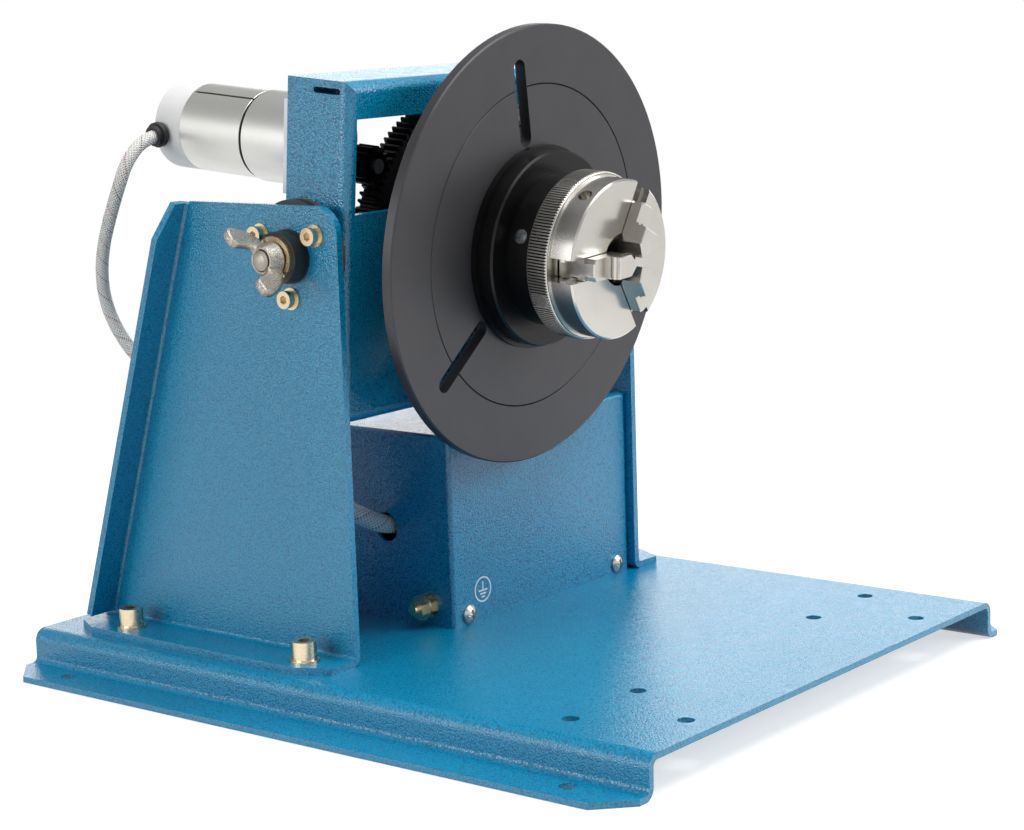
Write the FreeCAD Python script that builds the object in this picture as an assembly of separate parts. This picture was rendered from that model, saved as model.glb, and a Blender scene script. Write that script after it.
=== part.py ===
import FreeCAD, Part
import os
from math import acos, asin, atan2, cos, degrees, hypot, pi, radians, sin, sqrt, tan

# Bench welding positioner: a slotted turntable with a three-jaw chuck on a tilting gear head,
# carried between two side brackets on a folded base, with its control box behind the table.
# Millimetres. X runs across the machine, the table faces -Y, Z is up.
# The origin is the middle of the base's underside.
V = FreeCAD.Vector
X, Y, Z = V(1, 0, 0), V(0, 1, 0), V(0, 0, 1)

RUN = 0.1            # radial clearance of a turning or sliding fit
GAP = 0.3            # clearance between faces that move past each other
SIDES = {"left": -1, "right": 1}

# Base: a folded deck with a foot flange along each side
BASE_LENGTH = 319.0
BASE_WIDTH = 250.6
BASE_SHEET = 2.5
DECK_TOP = 16.5
BASE_BEND = 2.5
FOOT_FLANGE = 19.0
FOOT_CHAMFER = 13.0
FOOT_HOLE_R = 3.5
FOOT_HOLE_OFFSET = 8.2
FOOT_HOLE_SPACING = 260.0
DECK_HOLE_R = 3.3
DECK_HOLE_CIRCLE_R = 24.25
DECK_CIRCLE_X = 84.0
DECK_CIRCLE_Y = -122.5

# Side brackets
BRACKET_FACE = 96.4
BRACKET_SHEET = 3.0
BRACKET_BEND = 1.5
BRACKET_FRONT = 2.5
BRACKET_HEIGHT = 182.0
BRACKET_TOP_DEPTH = 84.0
BRACKET_FOOT_DEPTH = 143.5
BRACKET_TOP_R = 11.0
BRACKET_FOOT_REACH = 20.6
BRACKET_FOOT_CHAMFER = 7.0
BRACKET_FOOT_CHAMFER_LONG = 13.0
REAR_FLANGE_REACH = 13.0
REAR_FLANGE_CHAMFER = 7.0
REAR_FLANGE_CHAMFER_LONG = 15.0
REAR_FLANGE_LIFT = 2.5
BRACKET_BOLT_OFFSET = 12.0
BRACKET_BOLT_START = 16.0
BRACKET_BOLT_SPACING = 99.0

# Tilt pivot
PIVOT_Y = 28.0
PIVOT_RISE = 162.0
REST_NOD = 4.94
STUD_R = 4.0
STUD_END = 17.6
STUD_HEAD_R = 6.5
STUD_HEAD = 5.3
BUSH_FLANGE_R = 22.0
BUSH_FLANGE = 3.0
BUSH_R = 10.25
BUSH_REACH = 7.5
BUSH_COLLAR_R = 10.8
BUSH_COLLAR = 1.2
PIVOT_SCREW_CIRCLE_R = 16.65
PIVOT_SCREW_TURN = 29.0
CLAMP_WASHER_R = 8.8
CLAMP_WASHER = 1.6
WING_HUB_R = 7.0
WING_HUB_TOP_R = 5.3
WING_HUB = 6.5
WING_SPAN_R = 16.0
WING_TIP_RISE = 19.0
WING_THICK = 3.2
WING_TURN = 49.0

# Screws: radius of the shank, radius and height of the head
M6 = (3.0, 5.0, 6.0)
M4 = (2.0, 3.5, 4.0)
M3_PAN = (1.5, 2.8, 1.9)
M4_PAN = (2.0, 3.9, 2.4)
M3_CAP = (1.5, 2.75, 3.0)
M5_CAP = (2.5, 4.25, 3.6)
M6_WASHER_R = 6.0
M6_WASHER = 1.2
M6_SPRING_WASHER = 1.4
M6_NUT_R = 5.8
M6_NUT = 5.0
M4_WASHER_R = 4.4
M4_WASHER = 0.8

# Head frame: a box of folded sheet, open at the back, measured from the tilt axis
HEAD_HALF_WIDTH = 88.0
HEAD_FRONT = -22.0
HEAD_BACK = 10.0
HEAD_TOP = 69.0
HEAD_BOTTOM = -66.0
HEAD_SHEET = 3.0
HEAD_BEND = 1.5
WINDOW_HALF_WIDTH = 83.0
WINDOW_BOTTOM = 17.5
WINDOW_TOP = 54.5
RELIEF_LENGTH = 14.0
RELIEF_WIDTH = 2.4
TAB = 12.0
TAB_SHEET = 3.0
DRIVE_PLATE_SHEET = 3.0
REAR_WINDOW_LEFT = -70.0
REAR_WINDOW_RIGHT = -6.0
REAR_WINDOW_BOTTOM = 14.0
REAR_WINDOW_TOP = 56.0

# Turntable, spindle and bearings, along the spindle axis
TABLE_R = 90.0
TABLE_FACE = -47.0
TABLE_THICK = 5.0
TABLE_RIM_CHAMFER = 0.6
GROOVE_R = 66.2
GROOVE_WIDTH = 0.7
GROOVE_DEPTH = 0.6
SLOT_START_R = 45.5
SLOT_END_R = 74.5
SLOT_WIDTH = 7.0
SLOT_TURN = 101.7
SPINDLE_FLANGE_R = 35.0
SPINDLE_FLANGE = 5.0
SPINDLE_BORE_R = 6.0
FRONT_JOURNAL_R = 12.5
SHOULDER_R = 14.5
REAR_JOURNAL_R = 10.0
SPINDLE_END = 25.0
TABLE_BOLT_CIRCLE_R = 26.0
FRONT_BEARING_R = 23.5
REAR_BEARING_R = 21.0
BEARING_WIDTH = 12.0
HOUSING_WALL = 6.0
HOUSING_FLANGE_R = 38.0
HOUSING_FLANGE = 4.0
HOUSING_FRONT = -31.5
HOUSING_LIP = 2.5
HOUSING_SCREW_CIRCLE_R = 33.5
SPINDLE_NUT_R = 14.0

# Gear pair between motor and spindle
MODULE = 1.0
GEAR_TEETH = 114
PINION_TEETH = 14
PRESSURE = 20.0
BACKLASH = 0.12
GEAR_ADDENDUM = 0.85
GEAR_FACE = -8.0
GEAR_WIDTH = 10.0
GEAR_HUB_R = 21.0
GEAR_HUB = 5.0
GEAR_SCREW_R = 2.0
PINION_TURN = 149.0
PINION_HUB_R = 7.5
PINION_HUB = 8.0

# Gear motor, its output shaft beside the middle of its gearbox, and the bracket that holds it behind the head
GEARBOX_R = 18.9
GEARBOX_LENGTH = 27.0
SHAFT_OFFSET = 7.0
MOTOR_STAND_OFF = 16.0
MOTOR_BRACKET_SHEET = 3.0
MOTOR_BRACKET_FOOT = 14.0
MOTOR_BRACKET_SCREW_RISE = 14.0
MOTOR_BRACKET_RELIEF = 1.0
CAN_R = 18.3
CAN_LENGTH = 42.0
CAP_LENGTH = 10.0
MOTOR_SHAFT_R = 3.0
MOTOR_PILOT_R = 6.0
MOTOR_SCREW_CIRCLE_R = 14.0
GROMMET_R = 4.3
GROMMET_LENGTH = 5.0
GROMMET_TURN = 188.6

# Chuck
PLATE_R = 40.15
PLATE_BASE_R = 41.8
PLATE_THICK = 9.1
PLATE_STEP = 2.4
BOSS_R = 31.0
BOSS_LENGTH = 11.9
CHUCK_BORE_R = 8.0
RING_R = 34.0
RING_WIDTH = 7.7
RING_CHAMFER = 0.8
RING_HOLES = 4
RING_HOLE_R = 3.0
RING_HOLE_DEPTH = 8.0
RING_HOLE_TURN = 117.0
SPIGOT_R = 13.0
CHUCK_R = 32.2
CHUCK_RIM_R = 33.0
CHUCK_RIM = 2.5
CHUCK_LENGTH = 13.5
CHUCK_CHAMFER = 0.7
CHUCK_HOLE_R = 2.9
CHUCK_HOLE_DEPTH = 6.0
CHUCK_MOUTH_R = 10.5
CHUCK_MOUTH = 5.7
JAW_SLOT = 9.5
JAW_TURN = 183.5
JAW_RIB = 1.0
JAW_RIB_WIDTH = 2.0
JAW_RIB_DROP = 5.5
JAW_TIP_R = 2.0
JAW_STEPS = ((21.0, 4.0), (15.0, 7.0), (9.0, 10.0))
JAW_FOOT_R = 24.0
JAW_HEEL_R = 13.6
SET_SCREW_R = 3.0
SET_SCREW_TURN = 163.3

# Control box
BOX_LEFT = -31.4
BOX_RIGHT = 93.0
BOX_FRONT = 5.7
BOX_DEPTH = 130.0
BOX_HEIGHT = 81.5
BOX_SHEET = 1.5
BOX_BEND = 2.0
BOX_LIP = 12.0
BOX_SCREW_INSET = 9.6
BOX_SCREW_RISE = 4.6
BOX_TIE_INSET = 14.0
CABLE_HOLE_R = 6.15
CABLE_HOLE_Y = 41.1
CABLE_HOLE_RISE = 39.8
EARTH_Y = 18.5
EARTH_RISE = 9.0
EARTH_REACH = 13.0
PANEL_SHEET = 1.5

# Parts on the rear panel: place across the box from its left side, and height above the deck
KNOB_PLACE = (98.0, 58.0)
DIRECTION_PLACE = (62.0, 58.0)
POWER_PLACE = (26.0, 58.0)
INLET_PLACE = (92.0, 22.0)
FUSE_PLACE = (54.0, 22.0)
SOCKET_PLACE = (25.0, 22.0)
KNOB_R = 10.0
KNOB_LENGTH = 14.0
POT_R = 8.0
POT_LENGTH = 10.0
POT_BUSH_R = 3.5
POT_NUT_R = 6.0
POT_NUT = 2.2
POT_SHAFT_R = 3.0
ROCKER_BODY = (12.5, 19.0, 18.0)
ROCKER_BEZEL = (15.0, 21.0, 2.0)
ROCKER = (9.6, 16.2)
ROCKER_SWING = 9.0
INLET_BODY = (27.0, 19.5, 20.0)
INLET_FLANGE = (48.0, 22.5, 3.0)
INLET_MOUTH = (24.0, 16.4, 14.0)
INLET_SCREW_SPACING = 40.0
FUSE_R = 6.0
FUSE_CAP_R = 7.5
FUSE_CAP = 8.0
FUSE_LENGTH = 28.0
SOCKET_R = 8.0
SOCKET_FLANGE_R = 11.0
SOCKET_FLANGE = 2.0
SOCKET_REACH = 9.0
SOCKET_BODY = 12.0

# Electronics inside the box
SUPPLY = (85.0, 58.0, 33.0)
SUPPLY_PLACE = (22.0, 14.0)
SUPPLY_VENTS = 11
SUPPLY_VENT = 2.0
SUPPLY_VENT_PITCH = 6.0
SUPPLY_VENT_MARGIN = 12.0
SUPPLY_VENT_DEPTH = 1.5
BOARD = (72.0, 46.0, 1.6)
BOARD_RISE = 46.0
STANDOFF_R = 2.5
STANDOFF_INSET = 4.0
CAPACITOR = (5.0, 12.0)
CAPACITOR_PLACES = ((14.0, 12.0), (28.0, 12.0))
HEAT_SINK = (38.0, 64.0, 6.0, 18.0, 16.0)
RELAY = (10.0, 50.0, 30.0, 38.0, 9.0)

# Motor lead: a braided sleeve from the motor's end cap to the control box
LEAD = 5.5
LEAD_ROUTE = [
    (-66.7, 124.5, 223.4), (-79.2, 124.5, 221.7), (-88.8, 125.2, 213.1), (-91.5, 129, 200.9), (-88.5, 138, 189),
    (-84.5, 147, 177.5), (-80.5, 154, 165.5), (-77, 157, 152), (-73, 154.5, 138), (-68.5, 147, 125),
    (-64, 134, 113), (-60, 117, 103), (-57, 98, 94.5), (-55, 79.5, 86.5), (-52.5, 63.5, 77.5),
    (-47.5, 51.5, 67.5), (-39, 43.8, 59.9), (-28, 41.2, 56.5), (-17, 41, 56)]

DECK_BELOW = DECK_TOP - BASE_SHEET
PIVOT = V(0, PIVOT_Y, DECK_TOP + PIVOT_RISE)
HEAD_INNER = HEAD_HALF_WIDTH - HEAD_SHEET
BRACKET_INNER = BRACKET_FACE - BRACKET_SHEET
BRACKET_TOP = DECK_TOP + BRACKET_HEIGHT
TABLE_BACK = TABLE_FACE + TABLE_THICK
FLANGE_BACK = TABLE_BACK + SPINDLE_FLANGE
PLATE_FRONT = TABLE_FACE - PLATE_THICK
BOSS_FRONT = PLATE_FRONT - BOSS_LENGTH
CHUCK_BACK = BOSS_FRONT - RING_WIDTH - GAP
CHUCK_FACE = CHUCK_BACK - CHUCK_LENGTH
GEAR_BACK = GEAR_FACE + GEAR_WIDTH
DRIVE_PLATE_FRONT = HEAD_BACK - DRIVE_PLATE_SHEET
CENTRES = MODULE * (GEAR_TEETH + PINION_TEETH) / 2
SHAFT = V(CENTRES * cos(radians(PINION_TURN)), 0, CENTRES * sin(radians(PINION_TURN)))
MOTOR_TURN = PINION_TURN - 2 * degrees(asin(SHAFT_OFFSET / 2 / CENTRES))
MOTOR = V(CENTRES * cos(radians(MOTOR_TURN)), 0, CENTRES * sin(radians(MOTOR_TURN)))
MOTOR_FACE = HEAD_BACK + MOTOR_STAND_OFF
CAP_START = MOTOR_FACE + GEARBOX_LENGTH + CAN_LENGTH
FRONT_BEARING = HOUSING_FRONT + BEARING_WIDTH
REAR_BEARING = HEAD_BACK - HOUSING_LIP
BOX_BACK = BOX_FRONT + BOX_DEPTH
BOX_TOP = DECK_TOP + BOX_HEIGHT
BRACKET_BOLT_X = BRACKET_FACE + BRACKET_BOLT_OFFSET
BRACKET_BOLTS_Y = (BRACKET_FRONT + BRACKET_BOLT_START, BRACKET_FRONT + BRACKET_BOLT_START + BRACKET_BOLT_SPACING)
JAW_ANGLES = [JAW_TURN + 120 * k for k in range(3)]


# Building blocks

def flat(u, v):
    """Plan coordinates: u along X, v along Y."""
    return V(u, v, 0)


def upright(u, v):
    """Front-view coordinates: u along X, v along Z."""
    return V(u, 0, v)


def sidelong(u, v):
    """Side-view coordinates: u along Y, v along Z."""
    return V(0, u, v)


def outline(corners, view):
    """Face whose corners (u, v, radius) are rounded by tangent arcs, drawn in one of the views."""
    edges = []
    joins = []
    for i, (u, v, radius) in enumerate(corners):
        here = V(u, v, 0)
        before = V(*corners[i - 1][:2], 0) - here
        after = V(*corners[(i + 1) % len(corners)][:2], 0) - here
        before.normalize()
        after.normalize()
        half = before.getAngle(after) / 2
        start = here + before * (radius / tan(half))
        end = here + after * (radius / tan(half))
        joins.append((start, end))
        if radius > 0:
            bisector = before + after
            bisector.normalize()
            middle = here + bisector * (radius / sin(half) - radius)
            edges.append(Part.Arc(*[view(p.x, p.y) for p in (start, middle, end)]).toShape())
    for i, (start, end) in enumerate(joins):
        last = joins[i - 1][1]
        if last.distanceToPoint(start) > 1e-6:
            edges.append(Part.LineSegment(view(last.x, last.y), view(start.x, start.y)).toShape())
    return Part.Face(Part.Wire(Part.__sortEdges__(edges)))


def sharp(points, view):
    """Face with sharp corners, drawn in one of the views."""
    return Part.Face(Part.makePolygon([view(*p) for p in points] + [view(*points[0])]))


def turned(profile):
    """Solid turned about the Y axis from a profile of (radius, y) points."""
    return sharp(profile, flat).revolve(V(), Y, 360)


def rod(radius, start, direction, length):
    """Cylinder from a point along a direction."""
    return Part.makeCylinder(radius, length, start, direction)


def block(x0, x1, y0, y1, z0, z1):
    """Box between two corners."""
    return Part.makeBox(x1 - x0, y1 - y0, z1 - z0, V(x0, y0, z0))


def hexagon(radius, start, direction, length):
    """Hexagonal prism with its corners on the given radius."""
    corners = [V(radius * cos(k * pi / 3), radius * sin(k * pi / 3), 0) for k in range(7)]
    prism = Part.Face(Part.makePolygon(corners)).extrude(Z * length)
    prism.Placement = FreeCAD.Placement(start, FreeCAD.Rotation(Z, direction))
    return prism


def spoke(radius, turn, y=0):
    """Point on a circle about the Y axis, its angle counted from X towards Z."""
    return V(radius * cos(radians(turn)), y, radius * sin(radians(turn)))


def about_y(shape, turn):
    """Copy turned about the Y axis by an angle counted from X towards Z."""
    copy = shape.copy()
    copy.rotate(V(), Y, -turn)
    return copy


def mirrored(shape):
    """Copy mirrored from one side of the machine to the other."""
    return shape.mirror(V(), X)


def on_side(shape, side):
    """Shape drawn for the left side, or its mirror for the right side."""
    return shape if SIDES[side] < 0 else mirrored(shape)


def both_sides(shapes):
    """Shapes drawn for the left side, with their mirrors."""
    return shapes + [mirrored(s) for s in shapes]


def in_head(shape):
    """Shape drawn about the tilt axis, nodded forward and lifted to its place."""
    placed = shape.copy()
    placed.rotate(V(), X, REST_NOD)
    placed.translate(PIVOT)
    return placed


def cap_screw(size, seat, direction, length):
    """Socket-head cap screw: its head stands on the seat, its shank runs along the direction."""
    shank_r, head_r, head = size
    screw = rod(head_r, seat - direction * head, direction, head)
    screw = screw.fuse(rod(shank_r, seat, direction, length))
    socket = hexagon(head_r * 0.52, seat - direction * head, direction, head * 0.55)
    return screw.cut(socket).removeSplitter()


def pan_screw(size, seat, direction, length):
    """Pan-head screw with a cross recess."""
    shank_r, head_r, head = size
    ball_r = (head_r ** 2 + (head * 0.6) ** 2) / (1.2 * head)
    top = seat - direction * head
    dome = Part.makeSphere(ball_r, top + direction * ball_r)
    screw = rod(head_r, top, direction, head).common(dome).fuse(rod(shank_r, seat, direction, length))
    wide, narrow, deep = head_r * 0.55, head_r * 0.14, head * 0.55
    cross = Part.makeBox(2 * wide, 2 * narrow, deep, V(-wide, -narrow, 0))
    cross = cross.fuse(Part.makeBox(2 * narrow, 2 * wide, deep, V(-narrow, -wide, 0)))
    cross.Placement = FreeCAD.Placement(top, FreeCAD.Rotation(Z, direction))
    return screw.cut(cross).removeSplitter()


def washer(radius, hole_r, start, direction, thick):
    """Flat ring."""
    return rod(radius, start, direction, thick).cut(rod(hole_r, start, direction, thick))


# Base

def base_plate():
    half, foot, sheet = BASE_WIDTH / 2, BASE_WIDTH / 2 + FOOT_FLANGE, BASE_SHEET
    inner, outer = BASE_BEND, BASE_BEND + BASE_SHEET
    profile = []
    for side in (-1, 1):
        section = [(foot, sheet, 0), (foot, 0, 0), (half - sheet, 0, outer), (half - sheet, DECK_BELOW, inner)]
        profile += [(side * u, v, r) for u, v, r in section[::side]]
    top = [(half, sheet, inner), (half, DECK_TOP, outer)]
    profile = profile[:4][::-1] + profile[4:][::-1]
    profile += [(u, v, r) for u, v, r in top] + [(-u, v, r) for u, v, r in top[::-1]]
    deck = outline(profile, upright).extrude(Y * BASE_LENGTH)
    deck.translate(Y * (-BASE_LENGTH / 2))
    cut = FOOT_CHAMFER
    end = BASE_LENGTH / 2
    plan = [(foot, -end + cut), (foot, end - cut), (foot - cut, end), (-foot + cut, end),
            (-foot, end - cut), (-foot, -end + cut), (-foot + cut, -end), (foot - cut, -end)]
    deck = deck.common(sharp(plan, flat).extrude(Z * DECK_TOP))
    holes = [rod(FOOT_HOLE_R, V(sx * (half + FOOT_HOLE_OFFSET), sy * FOOT_HOLE_SPACING / 2, 0), Z, sheet)
             for sx in (-1, 1) for sy in (-1, 1)]
    for sx in (-1, 1):
        for turn in (30, 150, 270):
            centre = V(sx * DECK_CIRCLE_X, DECK_CIRCLE_Y, DECK_BELOW)
            spot = V(cos(radians(turn)), sin(radians(turn)), 0) * DECK_HOLE_CIRCLE_R
            holes.append(rod(DECK_HOLE_R, centre + spot, Z, sheet))
        holes += [rod(M6[0], V(sx * BRACKET_BOLT_X, y, DECK_BELOW), Z, sheet) for y in BRACKET_BOLTS_Y]
    holes += [rod(M4_PAN[0], spot - Z * BASE_SHEET, Z, sheet) for spot in box_ties()]
    return deck.cut(Part.makeCompound(holes))


def fold_direction():
    """Unit vector down the slanted rear fold of a bracket, and its normal to the rear."""
    down = V(0, BRACKET_FOOT_DEPTH - BRACKET_TOP_DEPTH, -BRACKET_HEIGHT)
    down.normalize()
    return down, V(0, -down.z, down.y)


def angle_section(arm, reach, sheet, bend):
    """L section: one arm along -v, the other along -u from a rounded outer corner at the origin."""
    return [(0, 0, bend + sheet), (-reach, 0, 0), (-reach, -sheet, 0), (-sheet, -sheet, bend),
            (-sheet, -arm, 0), (0, -arm, 0)]


def rear_flange():
    """Stiffening flange turned outward along the slanted rear edge of the left bracket."""
    down, rear = fold_direction()
    top = V(-BRACKET_INNER, BRACKET_FRONT + BRACKET_TOP_DEPTH, BRACKET_TOP)
    reach = REAR_FLANGE_REACH + BRACKET_SHEET
    length = (BRACKET_HEIGHT - BRACKET_SHEET - REAR_FLANGE_LIFT) / -down.z

    def across(u, v):
        return top + X * u + rear * v

    section = outline(angle_section(2 * BRACKET_FOOT_CHAMFER, reach, BRACKET_SHEET, BRACKET_BEND), across)
    flange = section.extrude(down * length)
    corner = [V(), down * REAR_FLANGE_CHAMFER_LONG, X * REAR_FLANGE_CHAMFER, V()]
    wedge = Part.Face(Part.makePolygon([top - X * reach - rear * BRACKET_SHEET + p for p in corner]))
    above = block(-BRACKET_FACE - REAR_FLANGE_REACH, -BRACKET_INNER, 0, BASE_LENGTH, BRACKET_TOP,
                  BRACKET_TOP + BRACKET_HEIGHT)
    return flange.cut(wedge.extrude(rear * BRACKET_SHEET)).cut(above)


def bracket():
    """Left side bracket: a plate with a bolted foot and a stiffened rear edge."""
    front, foot_end = BRACKET_FRONT, BRACKET_FRONT + BRACKET_FOOT_DEPTH
    bend = BRACKET_BEND + BRACKET_SHEET
    down, rear = fold_direction()
    setback = bend / rear.y
    side = [(front, DECK_TOP + bend, 0), (front, BRACKET_TOP, BRACKET_TOP_R),
            (front + BRACKET_TOP_DEPTH - setback, BRACKET_TOP, 0),
            (foot_end + down.y / down.z * bend - setback, DECK_TOP + bend, 0)]
    plate = outline(side, sidelong).extrude(X * BRACKET_SHEET)
    plate.translate(X * -BRACKET_FACE)
    reach = BRACKET_FOOT_REACH + BRACKET_SHEET
    section = [(-BRACKET_INNER + u, DECK_TOP - v, r)
               for u, v, r in angle_section(2 * bend, reach, BRACKET_SHEET, BRACKET_BEND)]
    foot = outline(section, upright).extrude(Y * BRACKET_FOOT_DEPTH)
    foot.translate(Y * front)
    short, long_side = BRACKET_FOOT_CHAMFER, BRACKET_FOOT_CHAMFER_LONG
    tip = -BRACKET_INNER - reach
    plan = [(-BRACKET_INNER, front), (-BRACKET_INNER, foot_end), (tip + short, foot_end),
            (tip, foot_end - long_side), (tip, front + long_side), (tip + short, front)]
    foot = foot.common(sharp(plan, flat).extrude(Z * BRACKET_TOP))
    whole = plate.fuse([foot, rear_flange()]).removeSplitter()
    holes = [rod(M6[0], V(-BRACKET_BOLT_X, y, DECK_TOP), Z, BRACKET_SHEET) for y in BRACKET_BOLTS_Y]
    holes.append(rod(BUSH_R, PIVOT - X * BRACKET_FACE, X, BRACKET_SHEET))
    holes += [rod(M4[0], spot, X, BRACKET_SHEET) for spot in pivot_screw_spots()]
    return whole.cut(Part.makeCompound(holes))


def pivot_screw_spots():
    """Places of the three screws round the left pivot, on the bracket's outer face."""
    return [PIVOT + V(-BRACKET_FACE, PIVOT_SCREW_CIRCLE_R * cos(radians(PIVOT_SCREW_TURN + k * 120)),
                      PIVOT_SCREW_CIRCLE_R * sin(radians(PIVOT_SCREW_TURN + k * 120))) for k in range(3)]


def bracket_fasteners():
    """Bolts, spring washers over flat washers, and nuts under the deck, for the left bracket."""
    seat = DECK_TOP + BRACKET_SHEET
    head_seat = seat + M6_WASHER + M6_SPRING_WASHER
    bolts, washers, nuts = [], [], []
    for y in BRACKET_BOLTS_Y:
        below = V(-BRACKET_BOLT_X, y, DECK_BELOW)
        shank = head_seat - DECK_BELOW + M6_NUT + M6_WASHER
        bolts.append(cap_screw(M6, V(-BRACKET_BOLT_X, y, head_seat), -Z, shank))
        washers.append(washer(M6_WASHER_R, M6[0], V(-BRACKET_BOLT_X, y, seat), Z, M6_WASHER))
        washers.append(washer(M6[1], M6[0], V(-BRACKET_BOLT_X, y, seat + M6_WASHER), Z, M6_SPRING_WASHER))
        nuts.append(hexagon(M6_NUT_R, below, -Z, M6_NUT).cut(rod(M6[0], below, -Z, M6_NUT)))
    return bolts, washers, nuts


# Tilt pivot, drawn for the left side

def pivot_bush():
    """Flanged bush: its flange lies inside the bracket, its boss stands out through it."""
    boss_end = PIVOT - X * (BRACKET_FACE + BUSH_REACH)
    body = rod(BUSH_R, boss_end, X, BUSH_REACH + BRACKET_SHEET + BUSH_FLANGE)
    body = body.fuse(rod(BUSH_FLANGE_R, PIVOT - X * BRACKET_INNER, X, BUSH_FLANGE))
    body = body.fuse(rod(BUSH_COLLAR_R, PIVOT - X * (BRACKET_FACE + BUSH_COLLAR), X, BUSH_COLLAR))
    reach = BUSH_REACH + BRACKET_SHEET + BUSH_FLANGE
    cuts = [rod(STUD_R + RUN, boss_end, X, reach)]
    cuts += [rod(M4[0], spot + X * BRACKET_SHEET, X, BUSH_FLANGE) for spot in pivot_screw_spots()]
    return body.cut(Part.makeCompound(cuts))


def pivot_screws():
    """Three cap screws and their washers."""
    screws, washers = [], []
    for spot in pivot_screw_spots():
        screws.append(cap_screw(M4, spot - X * M4_WASHER, X, M4_WASHER + BRACKET_SHEET + BUSH_FLANGE))
        washers.append(washer(M4_WASHER_R, M4[0], spot - X * M4_WASHER, X, M4_WASHER))
    return screws, washers


def clamp_washer():
    start = PIVOT - X * (BRACKET_FACE + BUSH_REACH + CLAMP_WASHER)
    return washer(CLAMP_WASHER_R, STUD_R + GAP, start, X, CLAMP_WASHER)


def tilt_stud():
    """Clamp stud held in the head's side wall, drawn in the head's frame, with a domed end."""
    end = BRACKET_FACE + STUD_END
    body = rod(STUD_R, V(-end, 0, 0), X, end - HEAD_INNER)
    body = body.common(Part.makeSphere(STUD_R * 1.6, V(-end + STUD_R * 1.6, 0, 0)).fuse(
        rod(STUD_R, V(-end + STUD_R, 0, 0), X, end)))
    return body.fuse(rod(STUD_HEAD_R, V(-HEAD_INNER, 0, 0), X, STUD_HEAD)).removeSplitter()


def friction_disc():
    """Disc that turns with the head and rubs on the bush flange."""
    thick = BRACKET_INNER - BUSH_FLANGE - GAP - HEAD_HALF_WIDTH
    return washer(BUSH_FLANGE_R, STUD_R, V(-HEAD_HALF_WIDTH - thick, 0, 0), X, thick)


def wing_nut():
    """Cast nut with two rounded wings swept outward, drawn at its place on the left stud."""
    seat = BRACKET_FACE + BUSH_REACH + CLAMP_WASHER + GAP
    hub = Part.makeCone(WING_HUB_R, WING_HUB_TOP_R, WING_HUB, V(-seat, 0, 0), -X)
    tip_r = WING_SPAN_R - 5.2
    lobe = [(0, seat + 0.6, 0), (WING_HUB_R, seat + 0.8, 3), (WING_SPAN_R, seat + 5.0, 4.6),
            (WING_SPAN_R - 1.0, seat + WING_TIP_RISE, 4.6), (tip_r - 4.4, seat + WING_TIP_RISE - 1.0, 4.0),
            (tip_r - 6.0, seat + WING_HUB, 1.0), (0, seat + WING_HUB - 0.5, 0)]

    def radial(u, v):
        return V(-v, u, 0)

    wing = outline(lobe, radial).extrude(Z * WING_THICK)
    wing.translate(Z * (-WING_THICK / 2))
    other = wing.copy()
    other.rotate(V(), X, 180)
    nut = hub.fuse([wing, other]).cut(rod(STUD_R + RUN, V(-seat - WING_TIP_RISE, 0, 0), X, WING_TIP_RISE))
    nut.rotate(V(), X, WING_TURN)
    nut.translate(PIVOT)
    return nut.removeSplitter()


# Head frame, in the head's own axes

def head_frame():
    """Folded and welded box with a gear window across its front."""
    wide, inner = HEAD_HALF_WIDTH, HEAD_INNER
    bend = HEAD_BEND + HEAD_SHEET
    outside = block(-wide, wide, HEAD_FRONT, HEAD_BACK, HEAD_BOTTOM, HEAD_TOP)
    front_edges = [e for e in outside.Edges if abs(e.CenterOfMass.y - HEAD_FRONT) < 1e-6]
    outside = outside.makeFillet(bend, front_edges)
    inside = block(-inner, inner, HEAD_FRONT + HEAD_SHEET, HEAD_BACK, HEAD_BOTTOM + HEAD_SHEET,
                   HEAD_TOP - HEAD_SHEET)
    front_edges = [e for e in inside.Edges if abs(e.CenterOfMass.y - HEAD_FRONT - HEAD_SHEET) < 1e-6]
    shell = outside.cut(inside.makeFillet(HEAD_BEND, front_edges))
    window = block(-WINDOW_HALF_WIDTH, WINDOW_HALF_WIDTH, HEAD_FRONT, HEAD_FRONT + bend, WINDOW_BOTTOM,
                   WINDOW_TOP)
    cuts = [window, rod(FRONT_BEARING_R + HOUSING_WALL, Y * HEAD_FRONT, Y, HEAD_SHEET)]
    cuts += [rod(M4[0], spoke(HOUSING_SCREW_CIRCLE_R, turn, HEAD_FRONT), Y, HEAD_SHEET)
             for turn in housing_screw_turns()]
    for side in (-1, 1):
        cuts.append(rod(STUD_R, V(side * wide, 0, 0), X * -side, HEAD_SHEET))
        slot = block(-HEAD_SHEET / 2, HEAD_SHEET / 2, 0, RELIEF_LENGTH, -RELIEF_WIDTH, 0)
        slot = slot.makeFillet(RELIEF_WIDTH * 0.49, [e for e in slot.Edges if e.tangentAt(0).x ** 2 > 0.9])
        slot.translate(V(side * (wide - HEAD_SHEET / 2), HEAD_FRONT + bend, HEAD_TOP - HEAD_SHEET))
        cuts.append(slot)
    shell = shell.cut(Part.makeCompound(cuts))
    tabs = [block(x - TAB / 2, x + TAB / 2, DRIVE_PLATE_FRONT - TAB_SHEET, DRIVE_PLATE_FRONT,
                  min(z, z - s * TAB), max(z, z - s * TAB)).cut(rod(M4_PAN[0], spot - Y * TAB_SHEET, Y, TAB_SHEET))
            for spot in drive_plate_spots()
            for s in [1 if spot.z > 0 else -1]
            for x, z in [(spot.x, HEAD_TOP - HEAD_SHEET if s > 0 else HEAD_BOTTOM + HEAD_SHEET)]]
    return shell.fuse(tabs).removeSplitter()


def housing_screw_turns():
    """Angles of the front housing's screws, all below the gear window."""
    return (200, 250, 290, 340)


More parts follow.
